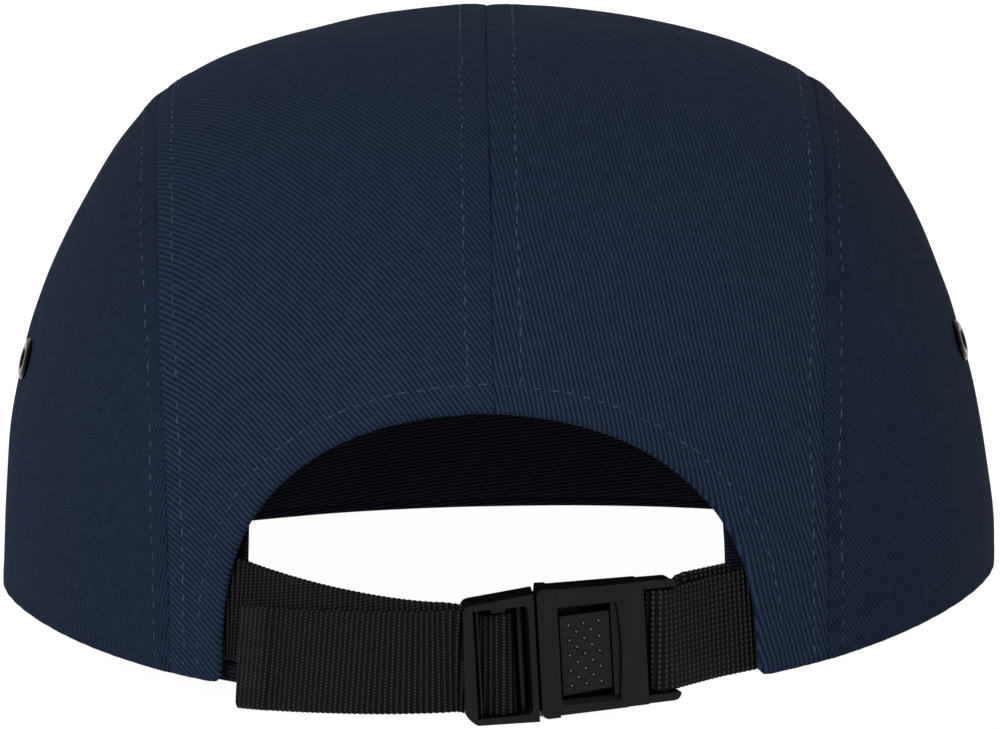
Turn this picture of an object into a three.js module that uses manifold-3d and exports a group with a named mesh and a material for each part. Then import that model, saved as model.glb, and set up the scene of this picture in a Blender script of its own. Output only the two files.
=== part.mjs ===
// A soft five panel cap of cotton twill, standing on a level surface as it would by itself.
// Millimetres. +Z is up, the peak points along +Y, and the wearer's right is at +X.
// The crown is worked out in its own frame, with z = 0 at the rear corners of the rim, and the whole
// cap is moved at the end so that its origin is the middle of its box at the level of the floor.

import * as THREE from 'three';
import { mergeVertices } from 'three/addons/utils/BufferGeometryUtils.js';
import Module from 'manifold-3d';

const wasm = await Module();
wasm.setup();

// Crown
const CROWN_HALF_WIDTH = 94.1;
const CROWN_HALF_LENGTH = 98.9;
const CROWN_HEIGHT = 112.1;
const CROWN_FORWARD_LEAN = 12.2;
const CROWN_REAR_POWER = 1.78;
const CROWN_FRONT_POWER = 2.15;
const CROWN_SIDE_POWER = 2.5;
const SIDE_RISE = 6.2;
const FRONT_RISE = 2.5;
// The rim's wave comes down to its low level this far beyond the crown's two ends.
const RIM_LOW_BEYOND = 4.5;
const TWILL_WALL = 1.2;
const SEAM_GAP = 0.5;

// The side seam stands proud of the smooth crown as a soft ridge. It starts and is full at these shares
// of the crown's height.
const RIDGE_HEIGHT = 2.9;
const RIDGE_SPREAD = 19.3;
const RIDGE_STARTS_AT = 0.3;
const RIDGE_FULL_AT = 0.8;

// Seams between the panels
const SIDE_SEAM_X = 61;
const SIDE_SEAM_FRONT_X = 57;
const FRONT_SEAM_RIM_X = 70;
const FRONT_CORNER_TURN = THREE.MathUtils.degToRad(120.5);
const FRONT_MIDDLE_TURN = THREE.MathUtils.degToRad(110);
const SHOULDER_TURN = THREE.MathUtils.degToRad(50);

// Rear opening
const ARCH_HALF_WIDTH = 49.3;
const ARCH_HEIGHT = 52.5;
const ARCH_SHIFT = -1.2;
const ARCH_WIDTH_POWER = 2.1;
const ARCH_HEIGHT_POWER = 2.5;

// Sweatband
const BAND_HEIGHT = 30;
const BAND_THICKNESS = 1;
const BAND_CLEARANCE = 0.3;
const BAND_END_LEFT_X = 49;
const BAND_END_RIGHT_X = 44.6;
// The band moves in to make room for the webbing between these shares of the crown's half length.
const BAND_MOVES_IN_FROM = 0.3;
const BAND_MOVES_IN_TO = 0.6;

// Peak
const PEAK_LENGTH = 69;
const PEAK_HALF_WIDTH = 87;
const PEAK_SHOULDER_Y = 60;
const PEAK_ROOT_X = 79;
const PEAK_CORNER_ROUND = 5;
const PEAK_THICKNESS = 3.4;
const PEAK_POWER = 2.3;
const PEAK_TIP_RISE = 3;
const PEAK_CORNER_DROP = 1.6;
const PEAK_CLEARANCE = 0.3;
// The share of the peak's reach over which its corners round off, the share of its width over which
// they droop, and the share of the way out over which it leaves the level of the rim.
const PEAK_ROUND_SHARE = 0.2;
const PEAK_DROOP_SHARE = 0.9;
const PEAK_LEVEL_SHARE = 0.75;

// Webbing
const WEBBING_WIDTH = 19;
const WEBBING_THICKNESS = 1.3;
const WEBBING_CLEARANCE = 0.3;
const STRAP_SEAT_CLEARANCE = 0.6;
const STRAP_MIDDLE_Y = -98.8;
const STRAP_HIDDEN_X = 58;
const STRAP_CORNER_X = 50;
const LEFT_STRAP_CORNER_Z = 14.9;
const RIGHT_STRAP_CORNER_Z = 13.4;
const STRAP_SWEEP_POWER = 1.7;
const TAIL_END_X = -46.3;
const TAIL_END_Z = 6.5;
const TAIL_FOLD_LENGTH = 4.7;
const FIXED_RETURN_X = 38.5;
// The shares of the right strap's free run over which it moves out to the face of its bar.
const LOOP_OPENS_FROM = 0.35;
const LOOP_OPENS_TO = 1.05;
// The turn round the slide's bar at which the webbing comes off it, and the straight run before it.
const WRAP_START_TURN = -90;
const WRAP_END_TURN = 119.4;
const STRAP_ENTRY_RUN = 2;
// The share of the tail's run over which it thickens into the fold at its end.
const TAIL_STEP_SHARE = 0.03;

// Buckle, the slide on the left and the housing on the right. Locked together they lie in one line,
// which turns away from the rear towards the right and rises a little.
const BUCKLE_YAW = THREE.MathUtils.degToRad(15);
const BUCKLE_ROLL = THREE.MathUtils.degToRad(2);
const SLIDE_X = -1;
const SLIDE_Y = -96.5;
const SLIDE_Z = 8.8;
const SLIDE_LENGTH = 14;
const SLIDE_LEFT_HEIGHT = 23.6;
const SLIDE_RIGHT_HEIGHT = 24.8;
const SLIDE_FACE = 5.2;
const SLIDE_BACK = -1.2;
const SLIDE_LEFT_BAR = 2.7;
const SLIDE_RIGHT_BAR = 1.7;
const SLIDE_CORNER_RADIUS = 1.8;
const INNER_BAR_WIDTH = 1.5;
const INNER_BAR_FACE = 2.6;
const SLIDE_SLOT_SPARE = 0.25;
const ROUND_BAR_RADIUS = 0.95;
const BUCKLE_WINDOW_HALF_HEIGHT = 9.9;
// How far a bar's ends are let into the frame round it, so that the two are one piece.
const BAR_ROOT = 1;

// The housing's middle lies this far along from the slide's, and this far out of the slide's middle layer.
const HOUSING_ALONG = 20.9;
const HOUSING_OUT = 1.3;
const HOUSING_LENGTH = 26.6;
const HOUSING_LEFT_HEIGHT = 23.6;
const HOUSING_RIGHT_HEIGHT = 22.4;
const HOUSING_THICKNESS = 7;
const HOUSING_FLANGE_LENGTH = 2.6;
const HOUSING_FLANGE_RISE = 0.4;
const HOUSING_FLANGE_LEFT_HEIGHT = 24.2;
const HOUSING_FLANGE_RIGHT_HEIGHT = 24;
const HOUSING_BACK_WALL = 1.6;
const HOUSING_END_TRIM = 1;
const HOUSING_BAR_ROOT = 0.8;
const HOUSING_WALL = 0.8;
const HOUSING_CORNER_RADIUS = 1.2;
const HOUSING_SLOT_LENGTH = 6.4;
const HOUSING_BAR_INSET = 3.1;
const ARM_THICKNESS = 5;
const PUSH_WINDOW_LENGTH = 12.4;
const PUSH_WINDOW_HEIGHT = 15.6;
const PUSH_WINDOW_RADIUS = 1.4;
const TONGUE_THICKNESS = 1.6;
const TONGUE_LENGTH = 10.6;
const TONGUE_ROLL = THREE.MathUtils.degToRad(2);
const TONGUE_RECESS = 1.1;
const TONGUE_LEFT_HEIGHT = 14.7;
const TONGUE_RIGHT_HEIGHT = 14.1;
const TONGUE_CORNER_RADIUS = 0.5;
const TONGUE_INSET = 0.2;
const TONGUE_NECK_BEFORE = 4;
const TONGUE_NECK_AFTER = 2;
const TONGUE_NECK_STEP = 0.4;
const TONGUE_NECK_HALF_HEIGHT = 6.2;
const CAVITY_HEIGHT = 17.2;
const CAVITY_REACH = 13.6;
const PUSH_WINDOW_INSET = 0.2;
const BUCKLE_CLEARANCE = 0.3;

// Eyelets
const EYELET_RADIUS = 4;
const EYELET_BORE_RADIUS = 1.8;
const EYELET_BARREL_RADIUS = 2.2;
const EYELET_FLANGE = 0.7;
const EYELET_HEIGHT = 50.3;
const EYELET_Y = -2;
const EYELET_CLEARANCE = 0.3;
// The flange's rounding: in from its rim, in to its crest, and the rise at both shoulders.
const EYELET_EDGE_ROUND = 0.35;
const EYELET_CREST_INSET = 1.1;
const EYELET_BORE_ROUND = 0.25;
const EYELET_SHOULDER_SHARE = 0.6;

// Finishes
const FINISHES = {
  twill: { color: 0x1e2a3b, roughness: 0.95, metalness: 0 },
  band: { color: 0x12131a, roughness: 0.9, metalness: 0 },
  webbing: { color: 0x18181a, roughness: 0.85, metalness: 0 },
  plastic: { color: 0x1c1c1e, roughness: 0.45, metalness: 0 },
  metal: { color: 0x4a4744, roughness: 0.3, metalness: 1 },
};

const LEAN_PER_HEIGHT = CROWN_FORWARD_LEAN / CROWN_HEIGHT;

function smoothStep(value, from, to) {
  return THREE.MathUtils.smoothstep(value, from, to);
}

// The crown's smooth form: 1 on the surface, less inside, and in proportion along any ray.
function crownReach(p) {
  const y = p.y - LEAN_PER_HEIGHT * p.z;
  const power = y < 0 ? CROWN_REAR_POWER : CROWN_FRONT_POWER;
  const wide = Math.pow(Math.abs(p.x / CROWN_HALF_WIDTH), power);
  const plan = wide + Math.pow(Math.abs(y / CROWN_HALF_LENGTH), power);
  const side = Math.pow(Math.abs(p.z / CROWN_HEIGHT), CROWN_SIDE_POWER);
  return Math.pow(Math.pow(plan, CROWN_SIDE_POWER / power) + side, 1 / CROWN_SIDE_POWER);
}

// Carries a point along its ray from the middle of the rim to the crown's outer surface.
function ontoCrown(p) {
  const base = p.clone().divideScalar(crownReach(p));
  const beside = (Math.abs(base.x) - SIDE_SEAM_X) / RIDGE_SPREAD;
  const shoulder = smoothStep(base.z / CROWN_HEIGHT, RIDGE_STARTS_AT, RIDGE_FULL_AT);
  const ridge = RIDGE_HEIGHT * Math.exp(-beside * beside) * shoulder;
  return base.multiplyScalar(1 + ridge / base.length());
}

// The outward direction of the crown at a point on it.
function crownNormal(p) {
  const ray = p.clone().normalize();
  const helper = Math.abs(ray.z) < 0.9 ? new THREE.Vector3(0, 0, 1) : new THREE.Vector3(1, 0, 0);
  const first = new THREE.Vector3().crossVectors(helper, ray).normalize();
  const second = new THREE.Vector3().crossVectors(ray, first);
  const step = 0.02;
  const a = ontoCrown(p.clone().addScaledVector(first, step))
    .sub(ontoCrown(p.clone().addScaledVector(first, -step)));
  const b = ontoCrown(p.clone().addScaledVector(second, step))
    .sub(ontoCrown(p.clone().addScaledVector(second, -step)));
  return a.cross(b).normalize();
}

// A point below the crown's surface by a depth.
function belowCrown(p, depth) {
  return p.clone().addScaledVector(crownNormal(p), -depth);
}

// The height of the rim, which rises towards the sides and a little at the front.
function rimHeight(y) {
  const low = y > 0 ? FRONT_RISE : 0;
  const share = 0.5 + 0.5 * Math.cos(Math.PI * y / (CROWN_HALF_LENGTH + RIM_LOW_BEYOND));
  return low + (SIDE_RISE - low) * share;
}

// A point of the crown at a turn round the rim (0 at the rear, positive to the right) and a height.
function crownAtTurn(turn, z) {
  const power = Math.cos(turn) > 0 ? CROWN_REAR_POWER : CROWN_FRONT_POWER;
  const risen = Math.pow(Math.max(z, 0) / CROWN_HEIGHT, CROWN_SIDE_POWER);
  const shrink = Math.pow(1 - risen, 1 / CROWN_SIDE_POWER);
  const across = Math.sign(Math.sin(turn)) * Math.pow(Math.abs(Math.sin(turn)), 2 / power);
  const along = Math.sign(Math.cos(turn)) * Math.pow(Math.abs(Math.cos(turn)), 2 / power);
  const x = CROWN_HALF_WIDTH * shrink * across;
  const y = -CROWN_HALF_LENGTH * shrink * along + LEAN_PER_HEIGHT * z;
  return ontoCrown(new THREE.Vector3(x, y, z));
}

// The turn at which the rim reaches a distance from the middle line, on the rear half.
function rearTurnAtX(x) {
  return Math.sign(x) * Math.asin(Math.pow(Math.abs(x) / CROWN_HALF_WIDTH, CROWN_REAR_POWER / 2));
}

// The same on the front half, to the right.
function frontTurnAtX(x) {
  return Math.PI - Math.asin(Math.pow(x / CROWN_HALF_WIDTH, CROWN_FRONT_POWER / 2));
}

// A point of the crown's edge, or a height above that edge.
function rimPoint(turn, above = 0) {
  let p = crownAtTurn(turn, above);
  for (let round = 0; round < 4; round += 1) {
    p = crownAtTurn(turn, rimHeight(p.y) + above);
  }
  return p;
}

// A point of the crown in a section at a distance from the middle line. The turn runs from the rear
// rim at 0, over the top at a quarter turn, to the front.
function crownOnSection(x, turn) {
  let inside = 0;
  let outside = 1.2;
  const direction = (reach) => {
    const z = reach * CROWN_HEIGHT * Math.sin(turn);
    const y = -reach * CROWN_HALF_LENGTH * Math.cos(turn) + LEAN_PER_HEIGHT * z;
    return new THREE.Vector3(x, y, z);
  };
  for (let round = 0; round < 40; round += 1) {
    const middle = (inside + outside) / 2;
    if (crownReach(direction(middle)) < 1) {
      inside = middle;
    } else {
      outside = middle;
    }
  }
  return ontoCrown(direction(inside));
}

// A point of the crown's rear seen from behind, at a distance from the middle line and a height.
function crownAtRear(x, z) {
  const risen = Math.pow(z / CROWN_HEIGHT, CROWN_SIDE_POWER);
  const shrink = Math.pow(1 - risen, CROWN_REAR_POWER / CROWN_SIDE_POWER);
  const rest = shrink - Math.pow(Math.abs(x) / CROWN_HALF_WIDTH, CROWN_REAR_POWER);
  const y = -CROWN_HALF_LENGTH * Math.pow(rest, 1 / CROWN_REAR_POWER) + LEAN_PER_HEIGHT * z;
  return ontoCrown(new THREE.Vector3(x, y, z));
}

// Curves that the panels share. Each takes a share from 0 to 1 and a side, -1 left or +1 right.

function sideSeamX(turn) {
  const forward = smoothStep(turn, Math.PI / 2, FRONT_CORNER_TURN);
  return THREE.MathUtils.lerp(SIDE_SEAM_X, SIDE_SEAM_FRONT_X, forward);
}

// The turn at which the side seam meets the rim at the rear.
function sideSeamStart() {
  let turn = 0;
  for (let round = 0; round < 30; round += 1) {
    const p = crownOnSection(SIDE_SEAM_X, turn);
    turn += (rimHeight(p.y) - p.z) / CROWN_HEIGHT;
  }
  return turn;
}

const SIDE_SEAM_START = sideSeamStart();

function sideSeam(fromTurn, toTurn, side) {
  return (share) => {
    const turn = THREE.MathUtils.lerp(fromTurn, toTurn, share);
    return crownOnSection(side * sideSeamX(turn), turn);
  };
}

function topSeam(fromX, toX) {
  return (share) => {
    const x = THREE.MathUtils.lerp(fromX, toX, share) * SIDE_SEAM_FRONT_X;
    const bow = 1 - (x / SIDE_SEAM_FRONT_X) * (x / SIDE_SEAM_FRONT_X);
    return crownOnSection(x, THREE.MathUtils.lerp(FRONT_CORNER_TURN, FRONT_MIDDLE_TURN, bow));
  };
}

const FRONT_RIM_TURN = frontTurnAtX(FRONT_SEAM_RIM_X);

function frontSeam(side) {
  const foot = rimPoint(side * FRONT_RIM_TURN);
  const head = crownOnSection(side * SIDE_SEAM_FRONT_X, FRONT_CORNER_TURN);
  return (share) => ontoCrown(foot.clone().lerp(head, share));
}

function rimBetween(fromTurn, toTurn) {
  return (share) => rimPoint(THREE.MathUtils.lerp(fromTurn, toTurn, share));
}

// The lower edge of a back panel: along the arch from its top to the rim, then along the rim.
const ARCH_SHARE = 0.75;

function backPanelFoot(side) {
  const cornerX = side * ARCH_HALF_WIDTH + ARCH_SHIFT;
  const cornerTurn = rearTurnAtX(cornerX);
  const seamTurn = rearTurnAtX(side * SIDE_SEAM_X);
  const corner = rimPoint(cornerTurn);
  const startAngle = Math.asin(Math.pow(Math.abs(ARCH_SHIFT) / ARCH_HALF_WIDTH, ARCH_WIDTH_POWER / 2));
  const firstAngle = side * ARCH_SHIFT < 0 ? startAngle : -startAngle;
  return (share) => {
    if (share > ARCH_SHARE) {
      return rimPoint(THREE.MathUtils.lerp(cornerTurn, seamTurn, (share - ARCH_SHARE) / (1 - ARCH_SHARE)));
    }
    const angle = THREE.MathUtils.lerp(firstAngle, Math.PI / 2, share / ARCH_SHARE);
    const across = Math.sign(angle) * Math.pow(Math.abs(Math.sin(angle)), 2 / ARCH_WIDTH_POWER);
    const up = Math.pow(Math.max(Math.cos(angle), 0), 2 / ARCH_HEIGHT_POWER);
    return crownAtRear(
      ARCH_SHIFT + side * ARCH_HALF_WIDTH * across,
      THREE.MathUtils.lerp(corner.z, ARCH_HEIGHT, up),
    );
  };
}

// A grid of points on the crown between four edges, by blending opposite edges.
function crownPatch({ foot, head, left, right, columns, rows }) {
  const footPoints = [];
  const headPoints = [];
  for (let i = 0; i <= columns; i += 1) {
    footPoints.push(foot(i / columns));
    headPoints.push(head(i / columns));
  }
  const grid = [];
  for (let i = 0; i <= columns; i += 1) {
    const u = i / columns;
    const column = [];
    for (let j = 0; j <= rows; j += 1) {
      const v = j / rows;
      const leftPoint = left(v);
      const rightPoint = right(v);
      const p = new THREE.Vector3()
        .addScaledVector(footPoints[i], 1 - v)
        .addScaledVector(headPoints[i], v)
        .addScaledVector(leftPoint, 1 - u)
        .addScaledVector(rightPoint, u)
        .addScaledVector(footPoints[0], -(1 - u) * (1 - v))
        .addScaledVector(footPoints[columns], -u * (1 - v))
        .addScaledVector(headPoints[0], -(1 - u) * v)
        .addScaledVector(headPoints[columns], -u * v);
      column.push(ontoCrown(p));
    }
    grid.push(column);
  }
  return grid;
}

// Draws the seamed edges of a grid back by half the seam's gap.
function drawBackSeams(grid, { left, right, head }) {
  const columns = grid.length - 1;
  const rows = grid[0].length - 1;
  const drawBack = (edge, next) => {
    const step = next.clone().sub(edge).setLength(SEAM_GAP / 2);
    edge.copy(ontoCrown(edge.clone().add(step)));
  };
  if (left) {
    grid[0].forEach((p, j) => drawBack(p, grid[1][j]));
  }
  if (right) {
    grid[columns].forEach((p, j) => drawBack(p, grid[columns - 1][j]));
  }
  if (head) {
    grid.forEach((column) => drawBack(column[rows], column[rows - 1]));
  }
  return grid;
}

function signedVolume(positions, triangles) {
  let sum = 0;
  for (const [a, b, c] of triangles) {
    sum += positions[a].dot(positions[b].clone().cross(positions[c]));
  }
  return sum / 6;
}

function solidGeometry(positions, triangles) {
  const outward = signedVolume(positions, triangles) > 0;
  const geometry = new THREE.BufferGeometry();
  const numbers = positions.flatMap((p) => [p.x, p.y, p.z]);
  geometry.setAttribute('position', new THREE.Float32BufferAttribute(numbers, 3));
  geometry.setIndex(triangles.flatMap(([a, b, c]) => (outward ? [a, b, c] : [a, c, b])));
  return geometry;
}

// A closed wall between two grids of the same size, one outside and one inside.
function wallBetween(outer, inner) {
  const columns = outer.length - 1;
  const rows = outer[0].length - 1;
  const positions = [...outer.flat(), ...inner.flat()];
  const half = (columns + 1) * (rows + 1);
  const at = (i, j) => i * (rows + 1) + j;
  const triangles = [];
  const addQuad = (a, b, c, d) => triangles.push([a, b, c], [a, c, d]);
  for (let i = 0; i < columns; i += 1) {
    for (let j = 0; j < rows; j += 1) {
      addQuad(at(i, j), at(i + 1, j), at(i + 1, j + 1), at(i, j + 1));
      addQuad(half + at(i, j), half + at(i, j + 1), half + at(i + 1, j + 1), half + at(i + 1, j));
    }
  }
  for (let i = 0; i < columns; i += 1) {
    addQuad(at(i + 1, 0), at(i, 0), half + at(i, 0), half + at(i + 1, 0));
    addQuad(at(i, rows), at(i + 1, rows), half + at(i + 1, rows), half + at(i, rows));
  }
  for (let j = 0; j < rows; j += 1) {
    addQuad(at(0, j), at(0, j + 1), half + at(0, j + 1), half + at(0, j));
    addQuad(at(columns, j + 1), at(columns, j), half + at(columns, j), half + at(columns, j + 1));
  }
  return solidGeometry(positions, triangles);
}

function panelGeometry(grid) {
  const inner = grid.map((column) => column.map((p) => belowCrown(p, TWILL_WALL)));
  return wallBetween(grid, inner);
}

function backPanel(side) {
  const grid = crownPatch({
    foot: backPanelFoot(side),
    head: topSeam(0, side),
    left: (share) => crownOnSection(0, THREE.MathUtils.lerp(archTopTurn(side), FRONT_MIDDLE_TURN, share)),
    right: sideSeam(SIDE_SEAM_START, FRONT_CORNER_TURN, side),
    columns: 16,
    rows: 18,
  });
  return panelGeometry(drawBackSeams(grid, { left: true, right: true, head: true }));
}

// The turn of the centre seam's lower end, at the top of the arch.
function archTopTurn(side) {
  const top = backPanelFoot(side)(0);
  const y = top.y - LEAN_PER_HEIGHT * top.z;
  return Math.atan2(top.z / CROWN_HEIGHT, -y / CROWN_HALF_LENGTH);
}

function sidePanel(side) {
  const grid = crownPatch({
    foot: rimBetween(rearTurnAtX(side * SIDE_SEAM_X), side * FRONT_RIM_TURN),
    head: sideSeam(SHOULDER_TURN, FRONT_CORNER_TURN, side),
    left: sideSeam(SIDE_SEAM_START, SHOULDER_TURN, side),
    right: frontSeam(side),
    columns: 18,
    rows: 14,
  });
  return panelGeometry(drawBackSeams(grid, { left: true, right: true, head: true }));
}

function frontPanel() {
  const grid = crownPatch({
    foot: rimBetween(2 * Math.PI - FRONT_RIM_TURN, FRONT_RIM_TURN),
    head: topSeam(-1, 1),
    left: frontSeam(-1),
    right: frontSeam(1),
    columns: 22,
    rows: 14,
  });
  return panelGeometry(drawBackSeams(grid, { left: true, right: true, head: true }));
}

// Sweatband, which leaves room for the webbing between itself and the wall towards its rear ends.
const BAND_FRONT_DEPTH = TWILL_WALL + BAND_CLEARANCE;
const STRAP_DEPTH = TWILL_WALL + STRAP_SEAT_CLEARANCE + WEBBING_THICKNESS / 2;
const BAND_REAR_DEPTH = STRAP_DEPTH + WEBBING_THICKNESS / 2 + STRAP_SEAT_CLEARANCE;

function bandDepth(y) {
  const rearShare = smoothStep(-y / CROWN_HALF_LENGTH, BAND_MOVES_IN_FROM, BAND_MOVES_IN_TO);
  return THREE.MathUtils.lerp(BAND_FRONT_DEPTH, BAND_REAR_DEPTH, rearShare);
}

function sweatband() {
  const fromTurn = rearTurnAtX(BAND_END_RIGHT_X);
  const toTurn = 2 * Math.PI + rearTurnAtX(-BAND_END_LEFT_X);
  const columns = 72;
  const rows = 4;
  const outer = [];
  const inner = [];
  for (let i = 0; i <= columns; i += 1) {
    const turn = THREE.MathUtils.lerp(fromTurn, toTurn, i / columns);
    const outerColumn = [];
    const innerColumn = [];
    for (let j = 0; j <= rows; j += 1) {
      const p = rimPoint(turn, BAND_HEIGHT * j / rows);
      const depth = bandDepth(p.y);
      outerColumn.push(belowCrown(p, depth));
      innerColumn.push(belowCrown(p, depth + BAND_THICKNESS));
    }
    outer.push(outerColumn);
    inner.push(innerColumn);
  }
  return wallBetween(outer, inner);
}

// The peak's sections crowd together towards its two ends, where its edge turns most.
const PEAK_END_CROWDING = 0.11;

// Peak, sewn against the crown's outer face just above its rim. Its lower face is flattened where its
// drooping corners rest on the floor.
function peak(floor) {
  const rootTurn = frontTurnAtX(PEAK_ROOT_X);
  const tipY = CROWN_HALF_LENGTH + PEAK_LENGTH;
  const columns = 36;
  const rows = 8;
  const top = [];
  const under = [];
  for (let i = 0; i <= columns; i += 1) {
    const share = i / columns - PEAK_END_CROWDING * Math.sin(2 * Math.PI * i / columns);
    const turn = THREE.MathUtils.lerp(rootTurn, 2 * Math.PI - rootTurn, share);
    const rootUnder = belowCrown(rimPoint(turn), -PEAK_CLEARANCE);
    const rootTop = belowCrown(rimPoint(turn, PEAK_THICKNESS), -PEAK_CLEARANCE);
    const angle = Math.PI * share;
    const across = Math.sign(Math.cos(angle)) * Math.pow(Math.abs(Math.cos(angle)), 2 / PEAK_POWER);
    const ahead = Math.pow(Math.sin(angle), 2 / PEAK_POWER);
    const rounding = PEAK_CORNER_ROUND * (1 - smoothStep(ahead, 0, PEAK_ROUND_SHARE));
    const edgeX = (PEAK_HALF_WIDTH - rounding) * across;
    const edgeY = THREE.MathUtils.lerp(PEAK_SHOULDER_Y, tipY, ahead);
    const edgeDrop = smoothStep(Math.abs(across), 0, PEAK_DROOP_SHARE);
    const edgeUnder = THREE.MathUtils.lerp(floor + PEAK_TIP_RISE, floor - PEAK_CORNER_DROP, edgeDrop);
    const topColumn = [];
    const underColumn = [];
    for (let j = 0; j <= rows; j += 1) {
      const out = j / rows;
      const bent = THREE.MathUtils.lerp(rootUnder.z, edgeUnder, smoothStep(out, 0, PEAK_LEVEL_SHARE));
      const z = Math.max(floor, bent);
      const outFrom = (root, level) => new THREE.Vector3(
        THREE.MathUtils.lerp(root.x, edgeX, out),
        THREE.MathUtils.lerp(root.y, edgeY, out),
        level,
      );
      underColumn.push(outFrom(rootUnder, z));
      topColumn.push(outFrom(rootTop, z + PEAK_THICKNESS));
    }
    top.push(topColumn);
    under.push(underColumn);
  }
  return wallBetween(top, under);
}

// Webbing

// A ribbon through stations, each with its middle, the direction across it and its thickness.
function ribbon(stations) {
  const positions = [];
  const last = stations.length - 1;
  stations.forEach((station, i) => {
    const before = stations[Math.max(i - 1, 0)].middle;
    const after = stations[Math.min(i + 1, last)].middle;
    const along = after.clone().sub(before).normalize();
    const across = station.across.clone().addScaledVector(along, -station.across.dot(along)).normalize();
    const outward = new THREE.Vector3().crossVectors(along, across);
    const halfWidth = WEBBING_WIDTH / 2;
    const halfThickness = station.thickness / 2;
    for (const [w, t] of [[-1, -1], [1, -1], [1, 1], [-1, 1]]) {
      positions.push(station.middle.clone()
        .addScaledVector(across, w * halfWidth)
        .addScaledVector(outward, t * halfThickness));
    }
  });
  const triangles = [[0, 1, 2], [0, 2, 3]];
  for (let i = 0; i < last; i += 1) {
    for (let k = 0; k < 4; k += 1) {
      const a = 4 * i + k;
      const b = 4 * i + (k + 1) % 4;
      triangles.push([a, a + 4, b + 4], [a, b + 4, b]);
    }
  }
  const end = 4 * last;
  triangles.push([end, end + 2, end + 1], [end, end + 3, end + 2]);
  return solidGeometry(positions, triangles);
}

// The local frames of the buckle's two halves: x along each, y = -out of its face, z up.
const SLIDE_FRAME = new THREE.Matrix4().makeTranslation(SLIDE_X, SLIDE_Y, SLIDE_Z)
  .multiply(new THREE.Matrix4().makeRotationZ(BUCKLE_YAW))
  .multiply(new THREE.Matrix4().makeRotationY(-BUCKLE_ROLL));
const HOUSING_FRAME = SLIDE_FRAME.clone()
  .multiply(new THREE.Matrix4().makeTranslation(HOUSING_ALONG, -HOUSING_OUT, 0));

function inFrame(frame, x, out, thickness = WEBBING_THICKNESS) {
  return {
    middle: new THREE.Vector3(x, -out, 0).applyMatrix4(frame),
    across: new THREE.Vector3(0, 0, 1).transformDirection(frame),
    thickness,
  };
}

// The middle of the strap inside the crown's wall, at a distance from the middle line.
function strapInWall(x, z) {
  return belowCrown(crownAtRear(x, z), STRAP_DEPTH);
}

// The direction up the crown's wall at a distance from the middle line.
function upTheWall(x, z) {
  const outward = crownNormal(crownAtRear(x, z));
  return new THREE.Vector3(0, 0, 1).addScaledVector(outward, -outward.z).normalize();
}

// Stations of a strap from its hidden end to the corner of the opening.
function hiddenStations(side, cornerZ) {
  const stations = [];
  const steps = 3;
  for (let i = 0; i < steps; i += 1) {
    const x = side * THREE.MathUtils.lerp(STRAP_HIDDEN_X, STRAP_CORNER_X, i / steps);
    const middle = strapInWall(x, cornerZ);
    stations.push({ middle, across: upTheWall(x, cornerZ), thickness: WEBBING_THICKNESS });
  }
  return stations;
}

const WRAP_RADIUS = ROUND_BAR_RADIUS + WEBBING_CLEARANCE + WEBBING_THICKNESS / 2;
const LAYER_STEP = WEBBING_THICKNESS + WEBBING_CLEARANCE;

// The left strap's free stretch bows from the corner of the opening to the slide.
function leftStrapPoint(x, out, z) {
  const corner = strapInWall(-STRAP_CORNER_X, LEFT_STRAP_CORNER_Z);
  const bow = (corner.y - STRAP_MIDDLE_Y) / (corner.x * corner.x);
  const slope = 2 * bow * x;
  const outward = new THREE.Vector3(slope, -1, 0).normalize();
  return new THREE.Vector3(x, STRAP_MIDDLE_Y + bow * x * x, z).addScaledVector(outward, out);
}

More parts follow.
